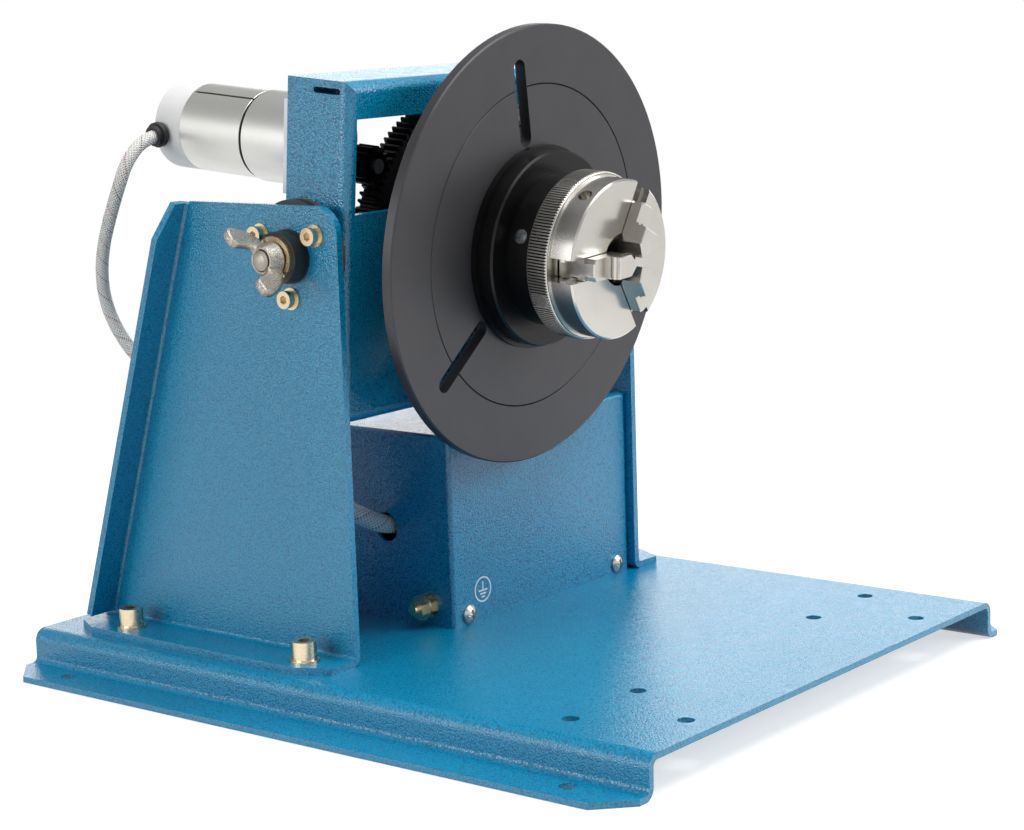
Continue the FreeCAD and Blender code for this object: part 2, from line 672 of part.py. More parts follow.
def drive_plate_spots():
    """Screw places at the corners of the drive plate, on its front face."""
    across = HEAD_INNER - TAB
    return [V(x, DRIVE_PLATE_FRONT, z) for x in (-across, across)
            for z in (HEAD_TOP - HEAD_SHEET - TAB / 2, HEAD_BOTTOM + HEAD_SHEET + TAB / 2)]


def drive_plate():
    """Plate across the back of the head, open behind the pinion.

    It carries the motor's bracket and the rear bearing.
    """
    plate = block(-HEAD_INNER, HEAD_INNER, DRIVE_PLATE_FRONT, HEAD_BACK, HEAD_BOTTOM + HEAD_SHEET,
                  HEAD_TOP - HEAD_SHEET)
    start = Y * DRIVE_PLATE_FRONT
    window = block(REAR_WINDOW_LEFT, REAR_WINDOW_RIGHT, DRIVE_PLATE_FRONT, HEAD_BACK, REAR_WINDOW_BOTTOM,
                   REAR_WINDOW_TOP)
    window = window.cut(rod(HOUSING_FLANGE_R + DRIVE_PLATE_SHEET, start, Y, DRIVE_PLATE_SHEET))
    cuts = [window, rod(REAR_BEARING_R + HOUSING_WALL, start, Y, DRIVE_PLATE_SHEET)]
    cuts += [rod(M4_PAN[0], spot - Y * DRIVE_PLATE_SHEET, Y, DRIVE_PLATE_SHEET) for spot in motor_bracket_spots()]
    cuts += [rod(M4_PAN[0], spot, Y, DRIVE_PLATE_SHEET) for spot in drive_plate_spots()]
    cuts += [rod(M4[0], spoke(HOUSING_SCREW_CIRCLE_R, turn, DRIVE_PLATE_FRONT), Y, DRIVE_PLATE_SHEET)
             for turn in rear_screw_turns()]
    return plate.cut(Part.makeCompound(cuts))


def motor_bracket_spots():
    """Screw places of the motor's bracket, on the drive plate's rear face."""
    across = REAR_WINDOW_LEFT - MOTOR_BRACKET_FOOT / 2
    return [V(across, HEAD_BACK, MOTOR.z + rise) for rise in (-MOTOR_BRACKET_SCREW_RISE, MOTOR_BRACKET_SCREW_RISE)]


def motor_screw_spots():
    """Screws on the gearbox's circle, clear of the pilot about its offset shaft."""
    toward = degrees(atan2(SHAFT.z - MOTOR.z, SHAFT.x - MOTOR.x))
    return [MOTOR + spoke(MOTOR_SCREW_CIRCLE_R, toward + turn) for turn in (-150, -70, 70, 150)]


def motor_bracket():
    """Stepped sheet: a foot on the drive plate, a web to the rear, and a rounded face for the gearbox."""
    thick = MOTOR_BRACKET_SHEET
    left = REAR_WINDOW_LEFT - MOTOR_BRACKET_FOOT
    web = REAR_WINDOW_LEFT
    right = MOTOR.x + GEARBOX_R
    step = sharp([(left, HEAD_BACK), (web, HEAD_BACK), (web, MOTOR_FACE - thick), (right, MOTOR_FACE - thick),
                  (right, MOTOR_FACE), (web - thick, MOTOR_FACE), (web - thick, HEAD_BACK + thick),
                  (left, HEAD_BACK + thick)], flat).extrude(Z * 2 * GEARBOX_R)
    step.translate(Z * (MOTOR.z - GEARBOX_R))
    start = Y * (MOTOR_FACE - thick)
    beside = block(MOTOR.x, MOTOR.x + GEARBOX_R, MOTOR_FACE - thick, MOTOR_FACE, MOTOR.z - GEARBOX_R,
                   MOTOR.z + GEARBOX_R).cut(rod(GEARBOX_R, MOTOR + start, Y, thick))
    cuts = [beside, rod(MOTOR_PILOT_R, SHAFT + start, Y, thick)]
    cuts += [rod(M3_CAP[0], spot + start, Y, thick) for spot in motor_screw_spots()]
    cuts += [rod(M4_PAN[0], spot, Y, thick) for spot in motor_bracket_spots()]
    cuts += [rod(M4_PAN[1] + MOTOR_BRACKET_RELIEF, spot + Y * DRIVE_PLATE_SHEET, Y, 2 * M4_PAN[2])
             for spot in drive_plate_spots()]
    return step.cut(Part.makeCompound(cuts))


def rear_screw_turns():
    return (0, 90, 180, 270)


def drive_plate_screws():
    """Screws from behind, through the drive plate into the head's tabs, and through the motor bracket's foot."""
    back = Y * DRIVE_PLATE_SHEET
    plate = [pan_screw(M4_PAN, spot + back, -Y, DRIVE_PLATE_SHEET + TAB_SHEET) for spot in drive_plate_spots()]
    foot = Y * MOTOR_BRACKET_SHEET
    bracket = [pan_screw(M4_PAN, spot + foot, -Y, MOTOR_BRACKET_SHEET + DRIVE_PLATE_SHEET)
               for spot in motor_bracket_spots()]
    return plate + bracket


def bearing_housing(front, bearing_r, mouth_r, barrel, flange_y, screw_turns):
    """Flanged housing, its bearing seat open to the front, with a lip behind the bearing."""
    wall = bearing_r + HOUSING_WALL
    seat_end = front + BEARING_WIDTH
    profile = [(bearing_r, front), (wall, front), (wall, flange_y), (HOUSING_FLANGE_R, flange_y),
               (HOUSING_FLANGE_R, flange_y + HOUSING_FLANGE), (wall, flange_y + HOUSING_FLANGE),
               (wall, front + barrel), (mouth_r, front + barrel), (mouth_r, seat_end), (bearing_r, seat_end)]
    holes = [rod(M4[0], spoke(HOUSING_SCREW_CIRCLE_R, turn, flange_y), Y, HOUSING_FLANGE) for turn in screw_turns]
    return turned(profile).cut(Part.makeCompound(holes))


def front_housing():
    return bearing_housing(HOUSING_FRONT, FRONT_BEARING_R, SHOULDER_R + 1.5, BEARING_WIDTH + HOUSING_LIP,
                           HEAD_FRONT - HOUSING_FLANGE, housing_screw_turns())


def rear_housing():
    """Housing bolted behind the drive plate; its bearing is put in from behind."""
    wall = REAR_BEARING_R + HOUSING_WALL
    lip_r = REAR_BEARING_R - HOUSING_LIP
    lip = REAR_BEARING - HOUSING_LIP
    end = REAR_BEARING + BEARING_WIDTH
    flange_end = HEAD_BACK + HOUSING_FLANGE
    profile = [(lip_r, lip), (wall, lip), (wall, HEAD_BACK), (HOUSING_FLANGE_R, HEAD_BACK),
               (HOUSING_FLANGE_R, flange_end), (wall, flange_end), (wall, end), (REAR_BEARING_R, end),
               (REAR_BEARING_R, REAR_BEARING), (lip_r, REAR_BEARING)]
    holes = [rod(M4[0], spoke(HOUSING_SCREW_CIRCLE_R, turn, HEAD_BACK), Y, HOUSING_FLANGE)
             for turn in rear_screw_turns()]
    return turned(profile).cut(Part.makeCompound(holes))


def housing_screws():
    """Cap screws of both bearing housings."""
    grip = HOUSING_FLANGE + HEAD_SHEET
    front = [cap_screw(M4, spoke(HOUSING_SCREW_CIRCLE_R, turn, HEAD_FRONT - HOUSING_FLANGE), Y, grip)
             for turn in housing_screw_turns()]
    grip = HOUSING_FLANGE + DRIVE_PLATE_SHEET
    rear = [cap_screw(M4, spoke(HOUSING_SCREW_CIRCLE_R, turn, HEAD_BACK + HOUSING_FLANGE), -Y, grip)
            for turn in rear_screw_turns()]
    return front + rear


def bearing(outer_r, journal_r, start):
    """Sealed ball bearing with shallow shield recesses on both sides."""
    inset, depth = 2.6, 0.6
    end = start + BEARING_WIDTH
    bore, low, high = journal_r + RUN / 2, journal_r + inset, outer_r - inset
    return turned([(bore, start), (low, start), (low, start + depth), (high, start + depth), (high, start),
                   (outer_r, start), (outer_r, end), (high, end), (high, end - depth), (low, end - depth),
                   (low, end), (bore, end)])


# Gear motor, in the head's axes

def gearbox():
    """Gearbox behind the bracket's face, with a pilot about its offset shaft."""
    body = rod(GEARBOX_R, MOTOR + Y * MOTOR_FACE, Y, GEARBOX_LENGTH)
    body = body.makeChamfer(0.6, [e for e in body.Edges if abs(e.CenterOfMass.y - MOTOR_FACE) < 1e-6])
    pilot_start = Y * (MOTOR_FACE - MOTOR_BRACKET_SHEET)
    body = body.fuse(rod(MOTOR_PILOT_R, SHAFT + pilot_start, Y, MOTOR_BRACKET_SHEET))
    cuts = [rod(MOTOR_SHAFT_R + RUN, SHAFT + pilot_start, Y, MOTOR_BRACKET_SHEET + GEARBOX_LENGTH / 2)]
    cuts += [rod(M3_CAP[0], spot + Y * MOTOR_FACE, Y, M3_CAP[2] * 2) for spot in motor_screw_spots()]
    return body.cut(Part.makeCompound(cuts))


def motor_screws():
    """Low cap screws through the motor's bracket into the gearbox face."""
    low = (M3_CAP[0], M3_CAP[1], M3_CAP[2] * 0.6)
    grip = MOTOR_BRACKET_SHEET
    return [cap_screw(low, spot + Y * (MOTOR_FACE - grip), Y, grip + M3_CAP[2] * 2) for spot in motor_screw_spots()]


def motor_can():
    return rod(CAN_R, MOTOR + Y * (MOTOR_FACE + GEARBOX_LENGTH), Y, CAN_LENGTH)


def end_cap():
    """Moulded cap with a rounded rim, and a side hole for the lead's grommet."""
    cap = rod(CAN_R, MOTOR + Y * CAP_START, Y, CAP_LENGTH)
    rim = [e for e in cap.Edges if abs(e.CenterOfMass.y - CAP_START - CAP_LENGTH) < 1e-6]
    cap = cap.makeFillet(2.2, rim)
    return cap.cut(rod(GROMMET_R, *grommet_axis(), GROMMET_LENGTH * 3))


def grommet_axis():
    """Inner end and direction of the lead's grommet on the motor's side."""
    outward = spoke(1, GROMMET_TURN)
    return MOTOR + Y * (CAP_START + CAP_LENGTH / 2) + outward * (CAN_R - GROMMET_LENGTH), outward


def grommet():
    start, outward = grommet_axis()
    body = rod(GROMMET_R, start, outward, 2 * GROMMET_LENGTH)
    collar = rod(GROMMET_R + 1.0, start + outward * (GROMMET_LENGTH + 1.0), outward, 2.0)
    return body.fuse(collar).cut(rod(LEAD / 2 + GAP, start, outward, 2 * GROMMET_LENGTH)).cut(
        rod(CAN_R, MOTOR + Y * CAP_START, Y, CAP_LENGTH).cut(rod(GROMMET_R, start, outward, GROMMET_LENGTH * 2)))


# Gears, in the head's axes

def spur_outline(teeth, addendum):
    """Face of a spur gear, a tooth centred on +X: flanks follow the involute of the base circle."""
    pitch_r = MODULE * teeth / 2
    base_r = pitch_r * cos(radians(PRESSURE))
    root_r = pitch_r - 1.25 * MODULE
    tip_r = pitch_r + addendum * MODULE

    def half_angle(radius):
        """Half of the tooth's angle at a radius, from the involute function."""
        alpha = acos(base_r / max(radius, base_r))
        at_pitch = tan(radians(PRESSURE)) - radians(PRESSURE)
        return pi / (2 * teeth) - BACKLASH / (2 * pitch_r) + at_pitch - (tan(alpha) - alpha)

    flank = [root_r, max(base_r, (root_r + pitch_r) / 2), (pitch_r + tip_r) / 2, tip_r]
    points = []
    for k in range(teeth):
        centre = 2 * pi * k / teeth
        for radius, sign in [(r, -1) for r in flank] + [(r, 1) for r in flank[::-1]]:
            turn = centre + sign * half_angle(radius)
            points.append((radius * cos(turn), radius * sin(turn)))
    return sharp(points, upright)


def drive_gear():
    """Large gear on the spindle, one tooth pointing at the motor shaft."""
    rim = spur_outline(GEAR_TEETH, GEAR_ADDENDUM).extrude(Y * GEAR_WIDTH)
    rim.translate(Y * GEAR_FACE)
    gear = about_y(rim, PINION_TURN).fuse(rod(GEAR_HUB_R, Y * (GEAR_FACE - GEAR_HUB), Y, GEAR_HUB))
    bore = rod(FRONT_JOURNAL_R, Y * (GEAR_FACE - GEAR_HUB), Y, GEAR_HUB + GEAR_WIDTH)
    screw = rod(GEAR_SCREW_R, Y * (GEAR_FACE - GEAR_HUB / 2), -Z, GEAR_HUB_R)
    return gear.cut(bore.fuse(screw)).removeSplitter()


def gear_screw():
    """Set screw in the gear's hub, pressing on the spindle."""
    return rod(GEAR_SCREW_R, V(0, GEAR_FACE - GEAR_HUB / 2, -FRONT_JOURNAL_R), -Z, GEAR_HUB_R - FRONT_JOURNAL_R)


def drive_pinion():
    """Small gear with a hub behind it on the motor shaft, a tooth space facing the spindle."""
    face = spur_outline(PINION_TEETH, 1.0).extrude(Y * GEAR_WIDTH)
    face.translate(Y * GEAR_FACE)
    pinion = about_y(face, PINION_TURN + 180 + 180 / PINION_TEETH).fuse(rod(PINION_HUB_R, Y * GEAR_BACK, Y, PINION_HUB))
    return pinion.cut(rod(MOTOR_SHAFT_R, Y * GEAR_FACE, Y, GEAR_WIDTH + PINION_HUB)).translated(SHAFT)


def motor_shaft():
    start = GEAR_FACE - 1
    return rod(MOTOR_SHAFT_R, SHAFT + Y * start, Y, MOTOR_FACE + GEARBOX_LENGTH / 2 - GAP - start)


# Spindle and turntable, in the head's axes

def spindle_shaft():
    """Hollow spindle with a flange for the turntable, a shoulder, and two journals."""
    shaft = turned([(SPINDLE_BORE_R, TABLE_BACK), (SPINDLE_FLANGE_R, TABLE_BACK),
                    (SPINDLE_FLANGE_R, FLANGE_BACK), (FRONT_JOURNAL_R + 3, FLANGE_BACK),
                    (FRONT_JOURNAL_R + 3, HOUSING_FRONT), (FRONT_JOURNAL_R, HOUSING_FRONT),
                    (FRONT_JOURNAL_R, GEAR_BACK), (REAR_JOURNAL_R, GEAR_BACK),
                    (REAR_JOURNAL_R, SPINDLE_END), (SPINDLE_BORE_R, SPINDLE_END)])
    return shaft.cut(Part.makeCompound(table_bolt_holes(TABLE_BACK, SPINDLE_FLANGE)))


def table_bolt_holes(start, length):
    return [rod(M5_CAP[0], spoke(TABLE_BOLT_CIRCLE_R, turn, start), Y, length) for turn in table_bolt_turns()]


def table_bolt_turns():
    return (20, 110, 200, 290)


def table_bolts():
    """Screws from behind the spindle flange, through the turntable into the chuck plate."""
    reach = SPINDLE_FLANGE + TABLE_THICK + PLATE_THICK / 2
    low = (M5_CAP[0], M5_CAP[1], M5_CAP[2])
    return [cap_screw(low, spoke(TABLE_BOLT_CIRCLE_R, turn, FLANGE_BACK), -Y, reach) for turn in table_bolt_turns()]


def spindle_nut():
    """Ring nut that holds the rear bearing on its journal."""
    start = REAR_BEARING + BEARING_WIDTH + GAP
    nut = hexagon(SPINDLE_NUT_R, Y * start, Y, SPINDLE_END - start)
    return nut.cut(rod(REAR_JOURNAL_R, Y * start, Y, SPINDLE_END - start))


def turntable():
    """Slotted disc with a marking groove on its face."""
    disc = rod(TABLE_R, Y * TABLE_FACE, Y, TABLE_THICK)
    disc = disc.makeChamfer(TABLE_RIM_CHAMFER, [e for e in disc.Edges if e.Length > 6 * TABLE_R])
    groove = turned([(GROOVE_R, TABLE_FACE + GROOVE_DEPTH), (GROOVE_R - GROOVE_WIDTH / 2, TABLE_FACE),
                     (GROOVE_R + GROOVE_WIDTH / 2, TABLE_FACE)])
    half = SLOT_WIDTH / 2
    middle = SLOT_END_R - SLOT_START_R
    slot = block(SLOT_START_R, SLOT_START_R + middle, TABLE_FACE, TABLE_BACK, -half, half)
    slot = slot.fuse([rod(half, V(r, TABLE_FACE, 0), Y, TABLE_THICK) for r in (SLOT_START_R, SLOT_END_R)])
    cuts = [about_y(slot.removeSplitter(), SLOT_TURN + 120 * k) for k in range(3)]
    cuts += [groove, rod(SPINDLE_BORE_R, Y * TABLE_FACE, Y, TABLE_THICK)]
    return disc.cut(cuts + table_bolt_holes(TABLE_FACE, TABLE_THICK))


# Chuck, in the head's axes

def chuck_plate():
    """Black adapter plate with a boss for the chuck."""
    step = TABLE_FACE - PLATE_STEP
    plate = turned([(CHUCK_BORE_R, TABLE_FACE), (PLATE_BASE_R, TABLE_FACE), (PLATE_BASE_R, step),
                    (PLATE_R, step), (PLATE_R, PLATE_FRONT + 0.8), (PLATE_R - 0.8, PLATE_FRONT),
                    (BOSS_R, PLATE_FRONT), (BOSS_R, BOSS_FRONT), (CHUCK_BORE_R, BOSS_FRONT)])
    depth = PLATE_THICK / 2
    cuts = table_bolt_holes(TABLE_FACE - depth, depth)
    for turn in chuck_screw_turns():
        cuts.append(rod(M3_CAP[1] + GAP, spoke(SPIGOT_R - M3_CAP[0] - 1, turn, TABLE_FACE), -Y, PLATE_THICK))
        cuts.append(rod(M3_CAP[0], spoke(SPIGOT_R - M3_CAP[0] - 1, turn, TABLE_FACE), -Y, PLATE_THICK + BOSS_LENGTH))
    cuts.append(rod(SET_SCREW_R, spoke(SPIGOT_R + 4, SET_SCREW_TURN, set_screw_y()), spoke(1, SET_SCREW_TURN), BOSS_R))
    return plate.cut(Part.makeCompound(cuts))


def set_screw_y():
    return PLATE_FRONT - BOSS_LENGTH / 2


def set_screw():
    """Socket set screw in the plate's boss, a little below its surface."""
    start = spoke(SPIGOT_R + 4, SET_SCREW_TURN, set_screw_y())
    outward = spoke(1, SET_SCREW_TURN)
    length = BOSS_R - SPIGOT_R - 4 - 1.2
    screw = rod(SET_SCREW_R, start, outward, length)
    return screw.cut(hexagon(SET_SCREW_R * 0.55, start + outward * (length - 3), outward, 3))


def chuck_screw_turns():
    return (63.5, 183.5, 303.5)


def chuck_screws():
    """Cap screws from inside the adapter plate into the chuck's spigot."""
    return [cap_screw(M3_CAP, spoke(SPIGOT_R - M3_CAP[0] - 1, turn, PLATE_FRONT), -Y, BOSS_LENGTH + RING_WIDTH)
            for turn in chuck_screw_turns()]


def chuck_body():
    """Chuck body: rear spigot, three jaw slots with guide ribs, key holes between the jaws."""
    back, face, rim = CHUCK_BACK, CHUCK_FACE, CHUCK_BACK - CHUCK_RIM
    mouth = face + CHUCK_MOUTH
    body = turned([(CHUCK_BORE_R, BOSS_FRONT), (SPIGOT_R, BOSS_FRONT), (SPIGOT_R, back),
                   (CHUCK_RIM_R, back), (CHUCK_RIM_R, rim), (CHUCK_R, rim),
                   (CHUCK_R, face + CHUCK_CHAMFER), (CHUCK_R - CHUCK_CHAMFER, face), (CHUCK_MOUTH_R, face),
                   (CHUCK_MOUTH_R, mouth), (CHUCK_BORE_R, mouth)])
    half = JAW_SLOT / 2
    rib_end = face + JAW_RIB_DROP
    rib_start = rib_end - JAW_RIB_WIDTH
    for turn in JAW_ANGLES:
        slot = block(0, CHUCK_RIM_R + 1, face, mouth, -half, half)
        slot = slot.fuse(block(SPIGOT_R, CHUCK_RIM_R + 1, mouth, back, -half, half))
        for side in (-1, 1):
            edge = side * (half - JAW_RIB / 2)
            slot = slot.cut(block(CHUCK_MOUTH_R, CHUCK_R, rib_start, rib_end, edge - JAW_RIB / 2, edge + JAW_RIB / 2))
        body = body.cut(about_y(slot, turn))
    cuts = []
    for turn in JAW_ANGLES:
        key = spoke(CHUCK_R - CHUCK_HOLE_DEPTH, turn + 60, (rim + face) / 2)
        cuts.append(rod(CHUCK_HOLE_R, key, spoke(1, turn + 60), CHUCK_HOLE_DEPTH + 1))
    cuts += [rod(M3_CAP[0], spoke(SPIGOT_R - M3_CAP[0] - 1, turn, BOSS_FRONT), -Y, RING_WIDTH)
             for turn in chuck_screw_turns()]
    return body.cut(Part.makeCompound(cuts))


def scroll_ring():
    """Hand ring with bar holes; its face behind the jaws carries the scroll."""
    back, front, cut = BOSS_FRONT - GAP, CHUCK_BACK + GAP, RING_CHAMFER
    ring = turned([(SPIGOT_R + RUN, back), (RING_R - cut, back), (RING_R, back - cut), (RING_R, front + cut),
                   (RING_R - cut, front), (SPIGOT_R + RUN, front)])
    holes = [rod(RING_HOLE_R, spoke(RING_R - RING_HOLE_DEPTH, RING_HOLE_TURN + k * 360 / RING_HOLES,
                                    (back + front) / 2), spoke(1, RING_HOLE_TURN + k * 360 / RING_HOLES),
                 RING_HOLE_DEPTH + 1) for k in range(RING_HOLES)]
    return ring.cut(Part.makeCompound(holes))


def jaw(turn):
    """Stepped jaw: a toothed heel on the scroll, grooves for the guide ribs, three gripping steps."""
    face = CHUCK_FACE
    half = JAW_SLOT / 2 - GAP
    mouth = face + CHUCK_MOUTH - GAP
    foot = CHUCK_BACK - GAP
    corners = [(JAW_HEEL_R, foot), (JAW_FOOT_R, foot), (JAW_FOOT_R, face)]
    for radius, rise in JAW_STEPS:
        corners += [(radius, corners[-1][1]), (radius, face - rise)]
    corners += [(JAW_TIP_R, face - JAW_STEPS[-1][1]), (JAW_TIP_R, mouth), (JAW_HEEL_R, mouth)]
    body = sharp(corners, flat).extrude(Z * 2 * half)
    body.translate(Z * -half)
    reach = half / tan(radians(60))
    tip = sharp([(JAW_TIP_R, 0), (JAW_TIP_R + reach, half), (JAW_FOOT_R, half), (JAW_FOOT_R, -half),
                 (JAW_TIP_R + reach, -half)], upright).extrude(Y * (foot - face + JAW_STEPS[-1][1]))
    tip.translate(Y * (face - JAW_STEPS[-1][1]))
    body = body.common(tip)
    rib_end = face + JAW_RIB_DROP
    for side in (-1, 1):
        edge = side * (half - JAW_RIB / 2 + GAP / 2)
        body = body.cut(block(0, JAW_FOOT_R, rib_end - JAW_RIB_WIDTH - GAP, rib_end + GAP,
                              edge - JAW_RIB / 2 - GAP / 2, edge + JAW_RIB / 2 + GAP / 2))
    return about_y(body, turn)


# Control box

def box_ties():
    """Places of the screws that tie the box's floor to the deck, on the deck's top face."""
    inset = BOX_TIE_INSET
    return [V(x, y, DECK_TOP) for x in (BOX_LEFT + inset, BOX_RIGHT - inset)
            for y in (BOX_FRONT + 2 * inset, BOX_BACK - inset)]


def front_screw_spots():
    """Places of the two cover screws on the box's front face."""
    return [V(x, BOX_FRONT, DECK_TOP + BOX_SCREW_RISE) for x in (BOX_LEFT + BOX_SCREW_INSET,
                                                                 BOX_RIGHT - BOX_SCREW_INSET)]


def box_cover():
    """Front, top and sides in one folded cover, open below and behind."""
    outside = block(BOX_LEFT, BOX_RIGHT, BOX_FRONT, BOX_BACK, DECK_TOP, BOX_TOP)
    soft = [e for e in outside.Edges
            if e.CenterOfMass.z > DECK_TOP + 1 and e.CenterOfMass.y < BOX_BACK - 1]
    outside = outside.makeFillet(BOX_BEND, soft)
    sheet = BOX_SHEET
    inside = block(BOX_LEFT + sheet, BOX_RIGHT - sheet, BOX_FRONT + sheet, BOX_BACK, DECK_TOP, BOX_TOP - sheet)
    hole = V(BOX_LEFT, CABLE_HOLE_Y, DECK_TOP + CABLE_HOLE_RISE)
    earth = V(BOX_LEFT, EARTH_Y, DECK_TOP + EARTH_RISE)
    cuts = [inside, rod(CABLE_HOLE_R, hole, X, sheet), rod(M4[0], earth, X, sheet)]
    cuts += [rod(M4_PAN[0], spot, Y, sheet) for spot in front_screw_spots()]
    return outside.cut(cuts)


def box_chassis():
    """Floor with a front lip and the upright rear panel, inside the cover."""
    sheet, side = PANEL_SHEET, BOX_SHEET + 0.2
    left, right = BOX_LEFT + side, BOX_RIGHT - side
    front, back = BOX_FRONT + BOX_SHEET, BOX_BACK
    floor = block(left, right, front, back, DECK_TOP, DECK_TOP + sheet)
    lip = block(left, right, front, front + sheet, DECK_TOP, DECK_TOP + BOX_LIP)
    panel = block(left, right, back - sheet, back, DECK_TOP, BOX_TOP - side)
    chassis = floor.fuse([lip, panel]).removeSplitter()
    cuts = [rod(M4_PAN[0], spot, Y, sheet * 2) for spot in front_screw_spots()]
    cuts += [rod(M4_PAN[0], spot, Z, sheet) for spot in box_ties()]
    cuts += [rod(POT_BUSH_R, panel_spot(KNOB_PLACE, -sheet), Y, sheet),
             rod(FUSE_R, panel_spot(FUSE_PLACE, -sheet), Y, sheet),
             rod(SOCKET_R, panel_spot(SOCKET_PLACE, -sheet), Y, sheet),
             panel_block(DIRECTION_PLACE, ROCKER_BODY, -sheet, 0), panel_block(POWER_PLACE, ROCKER_BODY, -sheet, 0),
             panel_block(INLET_PLACE, INLET_BODY, -sheet, 0)]
    cuts += [rod(M3_PAN[0], spot - Y * sheet, Y, sheet) for spot in inlet_screw_spots()]
    return chassis.cut(cuts)


def panel_spot(place, out=0):
    """Point on the rear panel's outer face, or a distance out from it."""
    return V(BOX_LEFT + place[0], BOX_BACK + out, DECK_TOP + place[1])


def panel_block(place, size, start, end):
    """Block centred on a place of the rear panel, between two distances out from it."""
    centre = panel_spot(place)
    return block(centre.x - size[0] / 2, centre.x + size[0] / 2, BOX_BACK + start, BOX_BACK + end,
                 centre.z - size[1] / 2, centre.z + size[1] / 2)


def box_screws():
    """Two cover screws in front, and the screws that tie the floor to the deck from below."""
    grip = BOX_SHEET + PANEL_SHEET
    front = [pan_screw(M4_PAN, spot, Y, grip + 1) for spot in front_screw_spots()]
    ties = [pan_screw(M4_PAN, spot - Z * BASE_SHEET, Z, BASE_SHEET + PANEL_SHEET + 1) for spot in box_ties()]
    return front + ties


def earth_terminal():
    """Earth stud through the cover's side, with a washer and two nuts outside."""
    start = V(BOX_LEFT + BOX_SHEET, EARTH_Y, DECK_TOP + EARTH_RISE)
    body = rod(M4[0], start, -X, EARTH_REACH).fuse(rod(M4[1], start, X, M4[2] / 2))
    outer = start - X * BOX_SHEET
    body = body.fuse(rod(M4_WASHER_R + 1, outer, -X, 1.0))
    body = body.fuse(hexagon(M4[1] + 0.5, outer - X, -X, 3.0))
    body = body.fuse(rod(M4_WASHER_R + 1, outer - X * 5, -X, 1.0))
    return body.fuse(hexagon(M4[1] + 0.5, outer - X * 6, -X, 3.0)).removeSplitter()


def speed_control():
    """Potentiometer behind the panel, with its bush and nut in front."""
    sheet = PANEL_SHEET
    body = rod(POT_R, panel_spot(KNOB_PLACE, -sheet - POT_LENGTH), Y, POT_LENGTH)
    body = body.fuse(rod(POT_BUSH_R, panel_spot(KNOB_PLACE, -sheet), Y, sheet + POT_NUT))
    body = body.fuse(hexagon(POT_NUT_R, panel_spot(KNOB_PLACE), Y, POT_NUT))
    return body.cut(rod(POT_SHAFT_R / 2 + RUN, panel_spot(KNOB_PLACE, -sheet), Y, sheet + POT_NUT)).removeSplitter()


def speed_knob():
    """Fluted knob with a pointer line, and its shaft in the control's bush."""
    start = panel_spot(KNOB_PLACE, POT_NUT + GAP)
    body = Part.makeCone(KNOB_R, KNOB_R * 0.88, KNOB_LENGTH, start, Y)
    flutes = [rod(1.1, start + spoke(KNOB_R + 0.4, turn), Y, KNOB_LENGTH) for turn in range(15, 375, 30)]
    pointer = block(start.x - 0.5, start.x + 0.5, start.y + KNOB_LENGTH - 0.6, start.y + KNOB_LENGTH,
                    start.z + 2, start.z + KNOB_R)
    body = body.cut(flutes + [pointer])
    return body.fuse(rod(POT_SHAFT_R / 2, panel_spot(KNOB_PLACE, -PANEL_SHEET), Y, PANEL_SHEET + POT_NUT + GAP))


def rocker_housing(place):
    """Snap-in switch body with a bezel on the panel and a well for its rocker."""
    width, height, depth = ROCKER_BODY
    body = panel_block(place, ROCKER_BODY, -depth, 0).fuse(panel_block(place, ROCKER_BEZEL, 0, ROCKER_BEZEL[2]))
    well = (ROCKER[0] + 2 * GAP, ROCKER[1] + 4 * GAP)
    return body.cut(panel_block(place, well, -5.0, ROCKER_BEZEL[2])).removeSplitter()


def rocker(place, lean):
    """Rocker with two sloping halves about its cross pin, leaning to one side at rest."""
    centre = panel_spot(place, 0.5)
    half_w, half_h = ROCKER[0] / 2, ROCKER[1] / 2
    side = [(-half_h, 2.4), (0, 1.6), (half_h, 2.4), (half_h - 1.4, -2.0), (-half_h + 1.4, -2.0)]
    body = sharp([(v, u) for u, v in side], sidelong).extrude(X * ROCKER[0])
    body.translate(centre - X * half_w)
    body.rotate(centre, X, lean)
    return body


def power_inlet():
    """Three-pin mains inlet with a screwed flange."""
    flange = panel_block(INLET_PLACE, INLET_FLANGE, 0, INLET_FLANGE[2])
    body = flange.fuse(panel_block(INLET_PLACE, INLET_BODY, -INLET_BODY[2], 0))
    body = body.cut(panel_block(INLET_PLACE, INLET_MOUTH, INLET_FLANGE[2] - INLET_MOUTH[2], INLET_FLANGE[2]))
    body = body.cut([rod(M3_PAN[0], spot, Y, INLET_FLANGE[2]) for spot in inlet_screw_spots()])
    centre = panel_spot(INLET_PLACE, INLET_FLANGE[2] - INLET_MOUTH[2])
    pins = [block(centre.x + dx - 1, centre.x + dx + 1, centre.y, centre.y + 10, centre.z + dz - 2, centre.z + dz + 2)
            for dx, dz in ((-7, -1), (0, 2.5), (7, -1))]
    return body.fuse(pins).removeSplitter()


def inlet_screw_spots():
    centre = panel_spot(INLET_PLACE)
    return [centre + X * (s * INLET_SCREW_SPACING / 2) for s in (-1, 1)]


def fuse_holder():
    """Round fuse holder with a finger cap outside the panel."""
    body = rod(FUSE_R, panel_spot(FUSE_PLACE, -FUSE_LENGTH), Y, FUSE_LENGTH)
    cap = rod(FUSE_CAP_R, panel_spot(FUSE_PLACE), Y, FUSE_CAP)
    cap = cap.makeChamfer(0.8, [e for e in cap.Edges if abs(e.CenterOfMass.y - BOX_BACK - FUSE_CAP) < 1e-6])
    slot = block(-4, 4, -1.2, 0, -0.6, 0.6).translated(panel_spot(FUSE_PLACE, FUSE_CAP))
    return body.fuse(cap).cut(slot)


